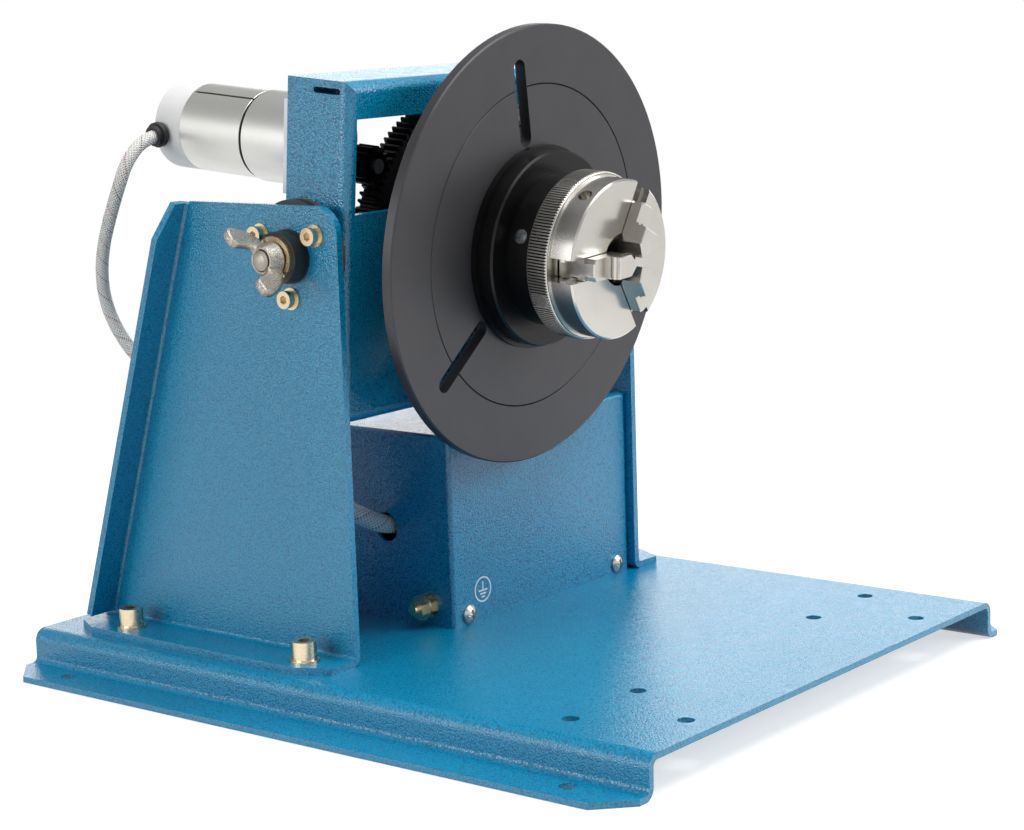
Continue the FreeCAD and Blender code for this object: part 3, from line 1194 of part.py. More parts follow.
def pedal_socket():
    """Round socket for the foot switch, with four pins."""
    body = rod(SOCKET_R, panel_spot(SOCKET_PLACE, -SOCKET_BODY), Y, SOCKET_BODY + SOCKET_REACH)
    body = body.fuse(rod(SOCKET_FLANGE_R, panel_spot(SOCKET_PLACE), Y, SOCKET_FLANGE))
    mouth = panel_spot(SOCKET_PLACE, SOCKET_REACH - 7)
    body = body.cut(rod(SOCKET_R - 1.5, mouth, Y, 7))
    return body.fuse([rod(1.0, mouth + spoke(3.6, turn), Y, 5) for turn in (45, 135, 225, 315)]).removeSplitter()


def power_supply():
    """Enclosed power supply standing on the box's floor, its vents across the top."""
    x0, y0 = BOX_LEFT + SUPPLY_PLACE[0], BOX_FRONT + SUPPLY_PLACE[1]
    floor = DECK_TOP + PANEL_SHEET
    top = floor + SUPPLY[2]
    body = block(x0, x0 + SUPPLY[0], y0, y0 + SUPPLY[1], floor, top)
    starts = [x0 + SUPPLY_VENT_MARGIN + SUPPLY_VENT_PITCH * k for k in range(SUPPLY_VENTS)]
    return body.cut([block(x, x + SUPPLY_VENT, y0 + SUPPLY_VENT_MARGIN, y0 + SUPPLY[1] - SUPPLY_VENT_MARGIN,
                           top - SUPPLY_VENT_DEPTH, top) for x in starts])


def control_board():
    """Speed control board on four standoffs above the supply, with its larger components."""
    base = DECK_TOP + PANEL_SHEET + SUPPLY[2]
    x0 = BOX_LEFT + SUPPLY_PLACE[0] + (SUPPLY[0] - BOARD[0]) / 2
    y0 = BOX_FRONT + SUPPLY_PLACE[1] + (SUPPLY[1] - BOARD[1]) / 2
    level = DECK_TOP + BOARD_RISE
    top = level + BOARD[2]
    board = block(x0, x0 + BOARD[0], y0, y0 + BOARD[1], level, top)
    feet = [rod(STANDOFF_R, V(x, y, base), Z, level - base)
            for x in (x0 + STANDOFF_INSET, x0 + BOARD[0] - STANDOFF_INSET)
            for y in (y0 + STANDOFF_INSET, y0 + BOARD[1] - STANDOFF_INSET)]
    parts = [rod(CAPACITOR[0], V(x0 + x, y0 + y, top), Z, CAPACITOR[1]) for x, y in CAPACITOR_PLACES]
    parts += [block(x0 + a, x0 + b, y0 + c, y0 + d, top, top + high) for a, b, c, d, high in (HEAT_SINK, RELAY)]
    return board.fuse(feet + parts).removeSplitter()


# Motor lead

def lead():
    """Round sleeve along straight runs joined by tangent arcs; prints its length and radii."""
    points = [V(*p) for p in LEAD_ROUTE]
    start, edges, radii = points[0], [], []
    for before, here, after in zip(points, points[1:], points[2:]):
        back, ahead = before - here, after - here
        run = min(back.Length, ahead.Length)
        back.normalize()
        ahead.normalize()
        half_turn = (pi - back.getAngle(ahead)) / 2
        inset = 0.45 * run
        radius = inset / tan(half_turn)
        radii.append(round(radius, 1))
        bisector = back + ahead
        bisector.normalize()
        first, last = here + back * inset, here + ahead * inset
        middle = here + bisector * (radius / cos(half_turn) - radius)
        edges.append(Part.LineSegment(start, first).toShape())
        edges.append(Part.Arc(first, middle, last).toShape())
        start = last
    edges.append(Part.LineSegment(start, points[-1]).toShape())
    path = Part.Wire(edges)
    ring = Part.Wire(Part.makeCircle(LEAD / 2, points[0], points[1] - points[0]))
    tube = path.makePipeShell([ring], True, True)
    ideal = pi * LEAD ** 2 / 4 * path.Length
    print("lead length", round(path.Length, 1), "radii", radii, "volume ratio", round(tube.Volume / ideal, 4))
    return tube


def main():
    """Build every piece and write one STEP file for each."""
    nodes = {"base_plate": base_plate(), "lead": lead()}
    bolts, washers, nuts = bracket_fasteners()
    nodes["bracket_bolts"] = both_sides(bolts)
    nodes["bracket_washers"] = both_sides(washers)
    nodes["bracket_nuts"] = both_sides(nuts)
    screws, rings = pivot_screws()
    nodes["pivot_screws"] = both_sides(screws)
    nodes["pivot_screw_washers"] = both_sides(rings)
    nodes["clamp_washers"] = both_sides([clamp_washer()])
    for side in SIDES:
        nodes["bracket_" + side] = on_side(bracket(), side)
        nodes["pivot_bush_" + side] = on_side(pivot_bush(), side)
        nodes["wing_nut_" + side] = on_side(wing_nut(), side)
    nodes.update({"box_cover": box_cover(), "box_chassis": box_chassis(), "box_screws": box_screws(),
                  "earth_terminal": earth_terminal(),
                  "power_supply": power_supply(), "control_board": control_board(),
                  "speed_control": speed_control(), "speed_knob": speed_knob(),
                  "power_switch": rocker_housing(POWER_PLACE), "power_rocker": rocker(POWER_PLACE, -ROCKER_SWING),
                  "direction_switch": rocker_housing(DIRECTION_PLACE),
                  "direction_rocker": rocker(DIRECTION_PLACE, 0), "power_inlet": power_inlet(),
                  "inlet_screws": [pan_screw(M3_PAN, spot + Y * INLET_FLANGE[2], -Y, INLET_FLANGE[2] + PANEL_SHEET)
                                   for spot in inlet_screw_spots()],
                  "fuse_holder": fuse_holder(), "pedal_socket": pedal_socket()})
    head = {"head_frame": head_frame(), "drive_plate": drive_plate(),
            "tilt_studs": both_sides([tilt_stud()]), "friction_discs": both_sides([friction_disc()]),
            "front_housing": front_housing(), "rear_housing": rear_housing(), "head_screws": housing_screws() + drive_plate_screws(),
            "front_bearing": bearing(FRONT_BEARING_R, FRONT_JOURNAL_R, HOUSING_FRONT),
            "rear_bearing": bearing(REAR_BEARING_R, REAR_JOURNAL_R, REAR_BEARING),
            "motor_bracket": motor_bracket(), "gearbox": gearbox(), "motor_screws": motor_screws(), "motor_can": motor_can(),
            "motor_end_cap": end_cap(), "lead_grommet": grommet(),
            "spindle_shaft": spindle_shaft(), "spindle_nut": spindle_nut(),
            "spindle_screws": table_bolts() + chuck_screws(),
            "turntable": turntable(), "drive_gear": drive_gear(),
            "chuck_plate": chuck_plate(), "set_screws": [gear_screw(), set_screw()],
            "chuck_body": chuck_body(), "scroll_ring": scroll_ring(),
            "drive_pinion": drive_pinion(), "motor_shaft": motor_shaft()}
    for k, turn in enumerate(JAW_ANGLES):
        head["jaw_%d" % (k + 1)] = jaw(turn)
    for name, shape in head.items():
        nodes[name] = [in_head(s) for s in shape] if isinstance(shape, list) else in_head(shape)
    os.makedirs("parts", exist_ok=True)
    for name, shape in sorted(nodes.items()):
        solids = shape if isinstance(shape, list) else shape.Solids
        whole = Part.makeCompound([s for item in solids for s in item.Solids])
        print(name, len(whole.Solids), "solids, volume", round(whole.Volume, 1), whole.isValid())
        whole.exportStep("parts/" + name + ".step")
    print(len(nodes), "nodes")


main()
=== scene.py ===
from math import cos, pi, radians, sin

import bpy
import numpy as np
from mathutils import Matrix, Vector


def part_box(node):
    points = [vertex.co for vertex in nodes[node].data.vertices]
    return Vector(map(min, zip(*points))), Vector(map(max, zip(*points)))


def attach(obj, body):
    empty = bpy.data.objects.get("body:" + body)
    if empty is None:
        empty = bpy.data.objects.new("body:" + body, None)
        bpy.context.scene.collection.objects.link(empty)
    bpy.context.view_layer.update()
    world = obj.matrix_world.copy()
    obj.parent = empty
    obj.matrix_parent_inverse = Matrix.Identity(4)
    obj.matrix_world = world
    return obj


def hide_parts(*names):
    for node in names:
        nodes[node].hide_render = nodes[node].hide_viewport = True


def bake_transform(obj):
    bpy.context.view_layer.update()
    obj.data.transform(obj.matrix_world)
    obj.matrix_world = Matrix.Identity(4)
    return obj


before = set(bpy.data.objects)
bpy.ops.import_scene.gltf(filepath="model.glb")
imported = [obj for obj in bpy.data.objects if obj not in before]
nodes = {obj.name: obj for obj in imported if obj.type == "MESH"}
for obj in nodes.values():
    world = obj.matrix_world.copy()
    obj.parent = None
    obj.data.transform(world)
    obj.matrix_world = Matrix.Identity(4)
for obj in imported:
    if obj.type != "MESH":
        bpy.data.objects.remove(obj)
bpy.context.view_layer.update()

MM = 0.001

# The tilt axis, and the head's nod at rest: the head's own axes have +Y along the spindle to the rear
PIVOT = Vector((0, 28.0, 178.5)) * MM
NOD = radians(4.94)
HEAD = Matrix.Translation(PIVOT) @ Matrix.Rotation(NOD, 4, "X")
MOTOR_AT = (-50.91, 38.78)
MOTOR_AXIS = HEAD @ Vector((MOTOR_AT[0] * MM, 0, MOTOR_AT[1] * MM))
SHAFT_AXIS = HEAD @ Vector((-54.86 * MM, 0, 32.96 * MM))


# Meshes from arrays

def in_head(points):
    """Points in the head's axes, in millimetres, as points in the frame, in metres."""
    turn = np.array(HEAD.to_3x3())
    return np.asarray(points, float) * MM @ turn.T + np.array(PIVOT)


def form(name, points, faces):
    """An object from vertices in metres, and faces of any number of corners."""
    mesh = bpy.data.meshes.new(name)
    corners = [[int(corner) for corner in face] for face in faces]
    mesh.from_pydata(np.asarray(points, float).tolist(), [], corners)
    made = bpy.data.objects.new(name, mesh)
    bpy.context.scene.collection.objects.link(made)
    return made


def skin(name, points, faces, material, body=None, smooth=True):
    """One piece from vertices and faces in a material, riding on a body where one is given."""
    piece = form(name, points, faces)
    piece.data.polygons.foreach_set("use_smooth", [smooth] * len(piece.data.polygons))
    piece.data.materials.append(material)
    piece.data.update()
    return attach(piece, body) if body else piece


def settled(piece):
    """Turns a piece's modifiers into its mesh."""
    bpy.context.view_layer.update()
    done = bpy.data.meshes.new_from_object(piece.evaluated_get(bpy.context.evaluated_depsgraph_get()))
    piece.modifiers.clear()
    piece.data = done


def weave_faces(rows, columns, close_rows=False, close_columns=True):
    """Quads of a grid of rows by columns, its last row or column joined to its first where it closes."""
    r = np.arange(rows if close_rows else rows - 1)[:, None]
    c = np.arange(columns if close_columns else columns - 1)[None, :]
    up, on = (r + 1) % rows, (c + 1) % columns
    corners = (r * columns + c, r * columns + on, up * columns + on, up * columns + c)
    return np.stack(np.broadcast_arrays(*corners), -1).reshape(-1, 4)


def end_faces(rows, columns):
    """One face over the first row of a grid that closes round, and one over its last."""
    return [list(range(columns))[::-1], list(range((rows - 1) * columns, rows * columns))]


def ring_about_y(radius, y, turns):
    """Rows of points about the Y axis: radius and y are arrays of rows by columns."""
    return np.stack([radius * np.cos(turns), y + 0 * turns, radius * np.sin(turns)], -1).reshape(-1, 3)


# Materials

def tone(code):
    """An sRGB hex colour as linear red, green, blue and alpha."""
    values = [int(code[i:i + 2], 16) / 255 for i in (1, 3, 5)]
    return tuple(v / 12.92 if v <= 0.04045 else ((v + 0.055) / 1.055) ** 2.4 for v in values) + (1.0,)


def add(tree, kind, inputs=(), **settings):
    """A node with its own settings, and its inputs set to values or linked from sockets."""
    made = tree.nodes.new(kind)
    for name, value in settings.items():
        setattr(made, name, value)
    for name, value in dict(inputs).items():
        if isinstance(value, bpy.types.NodeSocket):
            tree.links.new(value, made.inputs[name])
        else:
            made.inputs[name].default_value = value
    return made


def finish_named(name):
    """A new material with its surface shader, and the object's own coordinates in metres."""
    material = bpy.data.materials.new(name)
    material.use_nodes = True
    tree = material.node_tree
    shader = tree.nodes["Principled BSDF"]
    place = add(tree, "ShaderNodeTexCoord").outputs["Object"]
    return material, tree, shader, place


def lay(tree, socket, value):
    """Sets a shader's socket to a value, or links it from another socket."""
    if isinstance(value, bpy.types.NodeSocket):
        tree.links.new(value, socket)
    else:
        socket.default_value = value


def spread(tree, place, size_mm, detail=2.0, rough=0.5):
    """Noise whose grains are about size_mm across."""
    return add(tree, "ShaderNodeTexNoise", {"Vector": place, "Scale": 1 / (size_mm * MM), "Detail": detail,
                                           "Roughness": rough}).outputs["Fac"]


def span(tree, value, low, high, to_low, to_high):
    """A value carried from one range to another."""
    ends = {"Value": value, "From Min": low, "From Max": high, "To Min": to_low, "To Max": to_high}
    return add(tree, "ShaderNodeMapRange", ends).outputs["Result"]


def between(tree, share, first, second):
    """Two colours mixed by a share."""
    mixed = add(tree, "ShaderNodeMix", data_type="RGBA")
    lay(tree, mixed.inputs[0], share)
    lay(tree, mixed.inputs[6], first)
    lay(tree, mixed.inputs[7], second)
    return mixed.outputs[2]


def raised(tree, height, depth_mm, before=None):
    """A bump of a height from 0 to 1, depth_mm deep."""
    inputs = {"Height": height, "Distance": depth_mm * MM, "Strength": 1.0}
    if before is not None:
        inputs["Normal"] = before
    return add(tree, "ShaderNodeBump", inputs).outputs["Normal"]


def lathe_marks(tree, place, axis_point, pitch_mm):
    """Rings about an axis along the spindle, one for each pitch, blurred as a worn tool leaves them.

    A finishing cut's rings, 0.1 to 0.3 mm apart, are too fine to show, so every pitch here is coarser.
    The wave node makes 20 / (2 pi) rings for each unit of its scale.
    """
    own = add(tree, "ShaderNodeMapping", {"Vector": place, "Location": axis_point, "Rotation": (NOD, 0, 0)},
              vector_type="TEXTURE").outputs["Vector"]
    wave = {"Vector": own, "Scale": 2 * pi / (20 * pitch_mm * MM), "Distortion": 1.5, "Detail": 3.0,
            "Detail Scale": 0.6}
    return add(tree, "ShaderNodeTexWave", wave, wave_type="RINGS", rings_direction="Y").outputs["Fac"]


def powder_coat(name, colour, shade, recess_shade):
    """Thermoset powder over steel: a hard glossy film that dries in pebbles just under 1 mm across.

    The colour darkens between the pebbles: painted shade in their valleys. Its index is that of a dense
    pigmented film.
    """
    material, tree, shader, place = finish_named(name)
    pebbles = add(tree, "ShaderNodeTexVoronoi", {"Vector": place, "Scale": 1 / (0.8 * MM)},
                  feature="F1").outputs["Distance"]
    fine = spread(tree, place, 0.7, 3.0)
    film = raised(tree, pebbles, -0.16, raised(tree, fine, 0.05))
    cloud = between(tree, spread(tree, place, 45, 3.0), tone(colour), tone(shade))
    # painted shade: the colour darkens in the valleys between the pebbles
    pebble_valley_shade = span(tree, pebbles, 0.2, 0.85, 0.0, 0.7)
    lay(tree, shader.inputs["Base Color"], between(tree, pebble_valley_shade, cloud, tone(recess_shade)))
    lay(tree, shader.inputs["Roughness"], span(tree, spread(tree, place, 6, 3.0), 0.3, 0.7, 0.13, 0.2))
    shader.inputs["IOR"].default_value = 1.62
    lay(tree, shader.inputs["Normal"], film)
    return material


def turned_metal(name, colour, shade, roughness, pitch_mm, depth_mm, axis_point=PIVOT, metallic=1.0):
    """Metal faced or turned on a lathe: fine rings about its axis break up its shine."""
    material, tree, shader, place = finish_named(name)
    rings = lathe_marks(tree, place, axis_point, pitch_mm)
    cloud = spread(tree, place, 14, 4.0)
    lay(tree, shader.inputs["Base Color"], between(tree, cloud, tone(colour), tone(shade)))
    lay(tree, shader.inputs["Roughness"], span(tree, rings, 0, 1, roughness, roughness * 1.35))
    shader.inputs["Metallic"].default_value = metallic
    lay(tree, shader.inputs["Normal"], raised(tree, rings, depth_mm))
    return material


def knurled_metal(name, colour, shade, recess_shade):
    """Steel under a knurling wheel: bright crests, and grooves darkened with painted shade."""
    material, tree, shader, place = finish_named(name)
    deep = add(tree, "ShaderNodeAttribute", attribute_name="groove", attribute_type="GEOMETRY").outputs["Fac"]
    cloud = between(tree, spread(tree, place, 6, 3.0), tone(colour), tone(shade))
    # painted shade: the steel darkens with the depth of the groove
    groove_shade = span(tree, deep, 0.1, 0.8, 0, 1)
    lay(tree, shader.inputs["Base Color"], between(tree, groove_shade, cloud, tone(recess_shade)))
    lay(tree, shader.inputs["Roughness"], span(tree, deep, 0, 1, 0.24, 0.6))
    shader.inputs["Metallic"].default_value = 1.0
    lay(tree, shader.inputs["Normal"], raised(tree, spread(tree, place, 0.4, 2.0), 0.01))
    return material


def plated_metal(name, colour, shade, roughness, grain_mm, depth_mm=0.01):
    """Plating over a pressed or cast piece: an even shine, clouded by the bath and by handling."""
    material, tree, shader, place = finish_named(name)
    cloud = spread(tree, place, 2.5, 4.0, 0.6)
    grain = spread(tree, place, grain_mm, 3.0)
    lay(tree, shader.inputs["Base Color"], between(tree, cloud, tone(colour), tone(shade)))
    lay(tree, shader.inputs["Roughness"], span(tree, cloud, 0.3, 0.7, roughness * 0.8, roughness * 1.25))
    shader.inputs["Metallic"].default_value = 1.0
    lay(tree, shader.inputs["Normal"], raised(tree, grain, depth_mm))
    return material


def tumbled_casting(name, colour, shade, pit_shade):
    """Die cast and tumbled: bright metal with a grain of sand size, with painted shade in its pits."""
    material, tree, shader, place = finish_named(name)
    grain = spread(tree, place, 0.42, 2.0, 0.6)
    cloud = between(tree, spread(tree, place, 5, 3.0), tone(colour), tone(shade))
    # painted shade: the metal darkens where the grain sinks into pits
    sunk = span(tree, grain, 0.42, 0.62, 0.75, 0)
    lay(tree, shader.inputs["Base Color"], between(tree, sunk, cloud, tone(pit_shade)))
    lay(tree, shader.inputs["Roughness"], span(tree, grain, 0.35, 0.65, 0.55, 0.34))
    shader.inputs["Metallic"].default_value = 1.0
    lay(tree, shader.inputs["Normal"], raised(tree, grain, 0.16))
    return material


def moulding(name, colour, shade, roughness, grain_mm, depth_mm, ior=1.5):
    """Moulded plastic or rubber: the mould's fine spark texture, and a faint cloud in the colour.

    The texture is drawn coarser than the tenth of a millimetre that spark erosion leaves.
    """
    material, tree, shader, place = finish_named(name)
    grain = spread(tree, place, grain_mm, 2.0)
    cloud = spread(tree, place, 8, 3.0)
    lay(tree, shader.inputs["Base Color"], between(tree, cloud, tone(colour), tone(shade)))
    lay(tree, shader.inputs["Roughness"], span(tree, grain, 0.3, 0.7, roughness * 0.85, roughness * 1.15))
    shader.inputs["IOR"].default_value = ior
    lay(tree, shader.inputs["Normal"], raised(tree, grain, depth_mm))
    return material


def braided_glass_fibre(name, ground, shade_between_yarns, tracer_red, tracer_black):
    """Braided glass fibre: white yarns over and under each other, with a red and a black tracer yarn, and
    painted shade in the hollows between the yarns.
    """
    yarns = 12
    tracer_share = 0.035
    material, tree, shader, _ = finish_named(name)
    own = add(tree, "ShaderNodeUVMap", uv_map="sleeve").outputs["UV"]
    parts = add(tree, "ShaderNodeSeparateXYZ", {"Vector": own})
    round_, along = parts.outputs["X"], parts.outputs["Y"]

    def turned(sign):
        """The way round plus or minus the way along, in turns."""
        way = add(tree, "ShaderNodeMath", {0: along, 1: sign * 1.0}, operation="MULTIPLY").outputs[0]
        return add(tree, "ShaderNodeMath", {0: round_, 1: way}, operation="ADD").outputs[0]

    def wound(sign):
        """Height of the yarns wound one way: a sine of the turns."""
        phase = add(tree, "ShaderNodeMath", {0: turned(sign), 1: 2 * pi * yarns},
                    operation="MULTIPLY").outputs[0]
        return add(tree, "ShaderNodeMath", {0: phase}, operation="SINE").outputs[0]

    def tracer(sign, start):
        """1 on one yarn of those wound one way."""
        moved = add(tree, "ShaderNodeMath", {0: turned(sign), 1: start}, operation="ADD").outputs[0]
        share = add(tree, "ShaderNodeMath", {0: moved}, operation="FRACT").outputs[0]
        return add(tree, "ShaderNodeMath", {0: share, 1: tracer_share}, operation="LESS_THAN").outputs[0]

    left, right = wound(1), wound(-1)
    over = add(tree, "ShaderNodeMath", {0: left, 1: right}, operation="MAXIMUM").outputs[0]
    on_top = add(tree, "ShaderNodeMath", {0: left, 1: right}, operation="GREATER_THAN").outputs[0]
    red = add(tree, "ShaderNodeMath", {0: tracer(1, 0.1), 1: on_top}, operation="MULTIPLY").outputs[0]
    black = add(tree, "ShaderNodeMath", {0: tracer(1, 0.6), 1: on_top}, operation="MULTIPLY").outputs[0]
    # painted shade: the white darkens where the yarns sink between each other
    white = between(tree, span(tree, over, -0.2, 0.6, 0, 1), tone(shade_between_yarns), tone(ground))
    marked = between(tree, red, white, tone(tracer_red))
    lay(tree, shader.inputs["Base Color"], between(tree, black, marked, tone(tracer_black)))
    shader.inputs["Roughness"].default_value = 0.62
    shader.inputs["Sheen Weight"].default_value = 0.25
    lay(tree, shader.inputs["Normal"], raised(tree, span(tree, over, -0.5, 1, 0, 1), 0.22))
    return material


# the last colour is the painted shade in the valleys between the pebbles
coat = powder_coat("powder_coated_steel", "#04a2d2", "#0398c6", "#034f72")
table_oxide = turned_metal("blackened_turned_steel", "#4a494c", "#414043", 0.34, 0.9, 0.006, metallic=0.55)
hub_black = turned_metal("gloss_black_oxide_steel", "#111113", "#1a1a1c", 0.27, 0.7, 0.004, metallic=0.6)
chuck_steel = turned_metal("ground_chuck_steel", "#cfccc6", "#bdbab4", 0.2, 0.5, 0.003)
# the last colour is the painted shade in the knurl's grooves
knurled_steel = knurled_metal("knurled_steel", "#c9c7c1", "#b4b1ab", "#1d1c1a")
can_nickel = turned_metal("nickel_plated_can", "#d6d6d2", "#cbcbc7", 0.27, 0.6, 0.003, MOTOR_AXIS)
bright_steel = turned_metal("bright_turned_steel", "#b4b5b6", "#a4a5a7", 0.28, 0.6, 0.004)
iron = turned_metal("machined_cast_iron", "#57585a", "#4a4b4d", 0.5, 0.8, 0.01)
# a dark case as painted shade in the motor's seam and the gaps at the flux ring's ends
seam_shade_case = turned_metal("dark_case_as_seam_shade", "#101012", "#161619", 0.4, 0.6, 0.003, MOTOR_AXIS, 0.3)
motor_steel = turned_metal("black_oxide_pinion_steel", "#1c1c1e", "#141416", 0.35, 0.6, 0.004, SHAFT_AXIS)
yellow_zinc = plated_metal("yellow_zinc_plate", "#e2d6b4", "#d8c0a2", 0.24, 0.4)
clear_zinc = plated_metal("clear_zinc_plate", "#c3c6c9", "#b4b8bd", 0.3, 0.5)
nickel = plated_metal("nickel_plate", "#cbc8c0", "#bdb9b0", 0.22, 0.4)
cast_zinc = tumbled_casting("cast_zinc_alloy", "#cdc7bc", "#aca69b", "#5e5a52")
stud_zinc = turned_metal("turned_zinc_plated_stud", "#b0aaa0", "#8a847b", 0.42, 0.5, 0.02)
board_case = plated_metal("folded_aluminium", "#c6c8ca", "#b9bcbf", 0.35, 0.6)
gear_nylon = moulding("black_nylon", "#101012", "#17171a", 0.4, 0.35, 0.008, 1.53)
fibre = moulding("pressed_fibre", "#6a513b", "#57422f", 0.75, 0.4, 0.03)
white_abs = moulding("white_abs", "#f3f4f3", "#ecedec", 0.4, 0.4, 0.006, 1.54)
rubber = moulding("black_rubber", "#131313", "#1a1a1a", 0.6, 0.4, 0.01, 1.52)
gloss_abs = moulding("gloss_black_abs", "#0d0d0e", "#121213", 0.2, 0.5, 0.003, 1.54)
matt_abs = moulding("spark_textured_black_abs", "#141415", "#1a1a1b", 0.5, 0.3, 0.012, 1.54)
red_abs = moulding("gloss_red_abs", "#a4140f", "#930f0c", 0.22, 0.5, 0.003, 1.54)
board = moulding("green_solder_mask", "#0d4726", "#0b3d21", 0.35, 0.4, 0.004)
white_ink = moulding("white_screen_print", "#eef0f0", "#e4e8e8", 0.45, 0.3, 0.004)
sleeve = braided_glass_fibre("braided_glass_fibre", "#f7f6f3", "#c9c7c1", "#b2423a", "#2b2b2d")

FINISHES = {
    coat: ("base_plate", "bracket_left", "bracket_right", "box_cover", "box_chassis", "head_frame"),
    table_oxide: ("turntable",),
    hub_black: ("chuck_plate",),
    chuck_steel: ("chuck_body", "scroll_ring", "jaw_1", "jaw_2", "jaw_3"),
    can_nickel: ("gearbox", "motor_can"),
    bright_steel: ("spindle_shaft", "spindle_nut", "front_bearing", "rear_bearing", "motor_shaft"),
    iron: ("front_housing", "rear_housing"),
    motor_steel: ("drive_pinion",),
    yellow_zinc: ("bracket_bolts", "bracket_washers", "bracket_nuts", "pivot_screws",
                  "pivot_screw_washers", "clamp_washers", "earth_terminal"),
    stud_zinc: ("tilt_studs",),
    clear_zinc: ("drive_plate", "motor_bracket", "head_screws", "motor_screws", "spindle_screws",
                 "set_screws", "speed_control", "pedal_socket"),
    nickel: ("box_screws", "inlet_screws"),
    cast_zinc: ("wing_nut_left", "wing_nut_right"),
    board_case: ("power_supply",),
    gear_nylon: ("drive_gear", "pivot_bush_left", "pivot_bush_right"),
    fibre: ("friction_discs",),
    white_abs: ("motor_end_cap",),
    rubber: ("lead_grommet",),
    gloss_abs: ("power_switch", "direction_switch", "direction_rocker"),
    matt_abs: ("power_inlet", "fuse_holder", "speed_knob"),
    red_abs: ("power_rocker",),
    board: ("control_board",),
    sleeve: ("lead",),
}
for material, names in FINISHES.items():
    for name in names:
        nodes[name].data.materials.clear()
        nodes[name].data.materials.append(material)


# Camera and lead

CAMERA_LENS = 86.66
CAMERA_AT = (-0.7908, -0.6366, 0.2824)
CAMERA_TURN = radians(-51.32)
CAMERA_RISE = radians(10.04)
CAMERA_ROLL = radians(-1.86)

# From the motor's grommet to the hole in the control box, in millimetres
LEAD_ROUTE = [
    (-66.7, 124.5, 223.4), (-79.2, 124.5, 221.7), (-88.8, 125.2, 213.1), (-91.5, 129, 200.9),
    (-88.5, 138, 189), (-84.5, 147, 177.5), (-80.5, 154, 165.5), (-77, 157, 152), (-73, 154.5, 138),
    (-68.5, 147, 125), (-64, 134, 113), (-60, 117, 103), (-57, 98, 94.5), (-55, 79.5, 86.5),
    (-52.5, 63.5, 77.5), (-47.5, 51.5, 67.5), (-39, 44.2, 60.3), (-28, 41.2, 56.2), (-17, 40.6, 55.4)]
LEAD = 5.5
SLEEVE_LOOSE = 1.15  # how much the sleeve's radius grows towards the box
SLEEVE_LOOSE_FROM = 0.62  # share of the lead's length where the braid starts to loosen
SLEEVE_LOOSE_OVER = 0.26  # share of its length over which it does
SLEEVE_PITCH = 18.0  # length over which a yarn goes once round
SLEEVE_COLUMNS = 24


def camera():
    """The camera, on a long lens, to the left of the table and a little above it."""
    lens = bpy.data.cameras.new("camera")
    lens.lens = CAMERA_LENS
    lens.sensor_width = 36.0
    lens.clip_end = 20.0
    made = bpy.data.objects.new("camera", lens)
    bpy.context.scene.collection.objects.link(made)
    turn, rise, roll = CAMERA_TURN, CAMERA_RISE, CAMERA_ROLL
    right = Vector((cos(turn), sin(turn), 0))
    back = Vector((sin(turn) * cos(rise), -cos(turn) * cos(rise), sin(rise)))
    up = back.cross(right)
    level_right = right * cos(roll) + up * sin(roll)
    level_up = up * cos(roll) - right * sin(roll)
    axes = Matrix((level_right, level_up, back)).transposed()
    made.matrix_world = Matrix.Translation(CAMERA_AT) @ axes.to_4x4()
    bpy.context.scene.camera = made


def smooth_line(route):
    """Points along the smooth line that a route of control points draws, and that line's length."""
    curve = bpy.data.curves.new("route", "CURVE")
    curve.dimensions = "3D"
    spline = curve.splines.new("NURBS")
    spline.points.add(len(route) - 1)
    spline.points.foreach_set("co", (np.c_[np.array(route) * MM, np.ones(len(route))]).ravel())
    spline.order_u = 3
    spline.use_endpoint_u = True
    spline.resolution_u = 12
    holder = bpy.data.objects.new("route", curve)
    bpy.context.scene.collection.objects.link(holder)
    bpy.context.view_layer.update()
    line = bpy.data.meshes.new_from_object(holder)
    points = np.array([v.co for v in line.vertices])
    bpy.data.objects.remove(holder)
    bpy.data.meshes.remove(line)
    return points, float(np.linalg.norm(np.diff(points, axis=0), axis=1).sum())


def sleeved_lead():
    """The lead in its sleeve: a circle carried along the smooth line, wider where the braid loosens.

    Its radius grows by a smooth step of the length travelled. The mesh's UV holds the way round in turns and
    the way along in pitches of the braid.
    """
    line, length = smooth_line(LEAD_ROUTE)
    rows = len(line)
    columns = SLEEVE_COLUMNS
    way = np.gradient(line, axis=0)
    way /= np.linalg.norm(way, axis=1)[:, None]
    side = np.cross(way, np.array([0.3, 0.2, 1.0]))
    side /= np.linalg.norm(side, axis=1)[:, None]
    other = np.cross(way, side)
    turns = np.linspace(0, 2 * pi, columns, endpoint=False)
    travelled = np.r_[0, np.cumsum(np.linalg.norm(np.diff(line, axis=0), axis=1))]
    loose = np.clip((travelled / travelled[-1] - SLEEVE_LOOSE_FROM) / SLEEVE_LOOSE_OVER, 0, 1)
    radius = (LEAD / 2 + SLEEVE_LOOSE * loose * loose * (3 - 2 * loose))[:, None, None]
    round_line = side[:, None] * np.cos(turns)[:, None] + other[:, None] * np.sin(turns)[:, None]
    hoops = line[:, None] + radius * MM * round_line
    faces = weave_faces(rows, columns).tolist() + end_faces(rows, columns)
    piece = skin("lead_sleeve", hoops.reshape(-1, 3), faces, sleeve)
    own = piece.data.uv_layers.new(name="sleeve")
    first = np.tile(np.arange(columns) / columns, rows - 1)
    last = np.tile(np.arange(columns) / columns + 1 / columns, rows - 1)
    near = np.repeat(travelled[:-1], columns) / (SLEEVE_PITCH * MM)
    far = np.repeat(travelled[1:], columns) / (SLEEVE_PITCH * MM)
    corners = np.stack([first, near, last, near, last, far, first, far], -1).reshape(-1)
    flat = np.zeros(2 * len(piece.data.loops))
    flat[:len(corners)] = corners
    own.data.foreach_set("uv", flat)
    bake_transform(piece)
    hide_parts("lead")
    return length


camera()
lead_length = sleeved_lead()


# Hand ring of the chuck

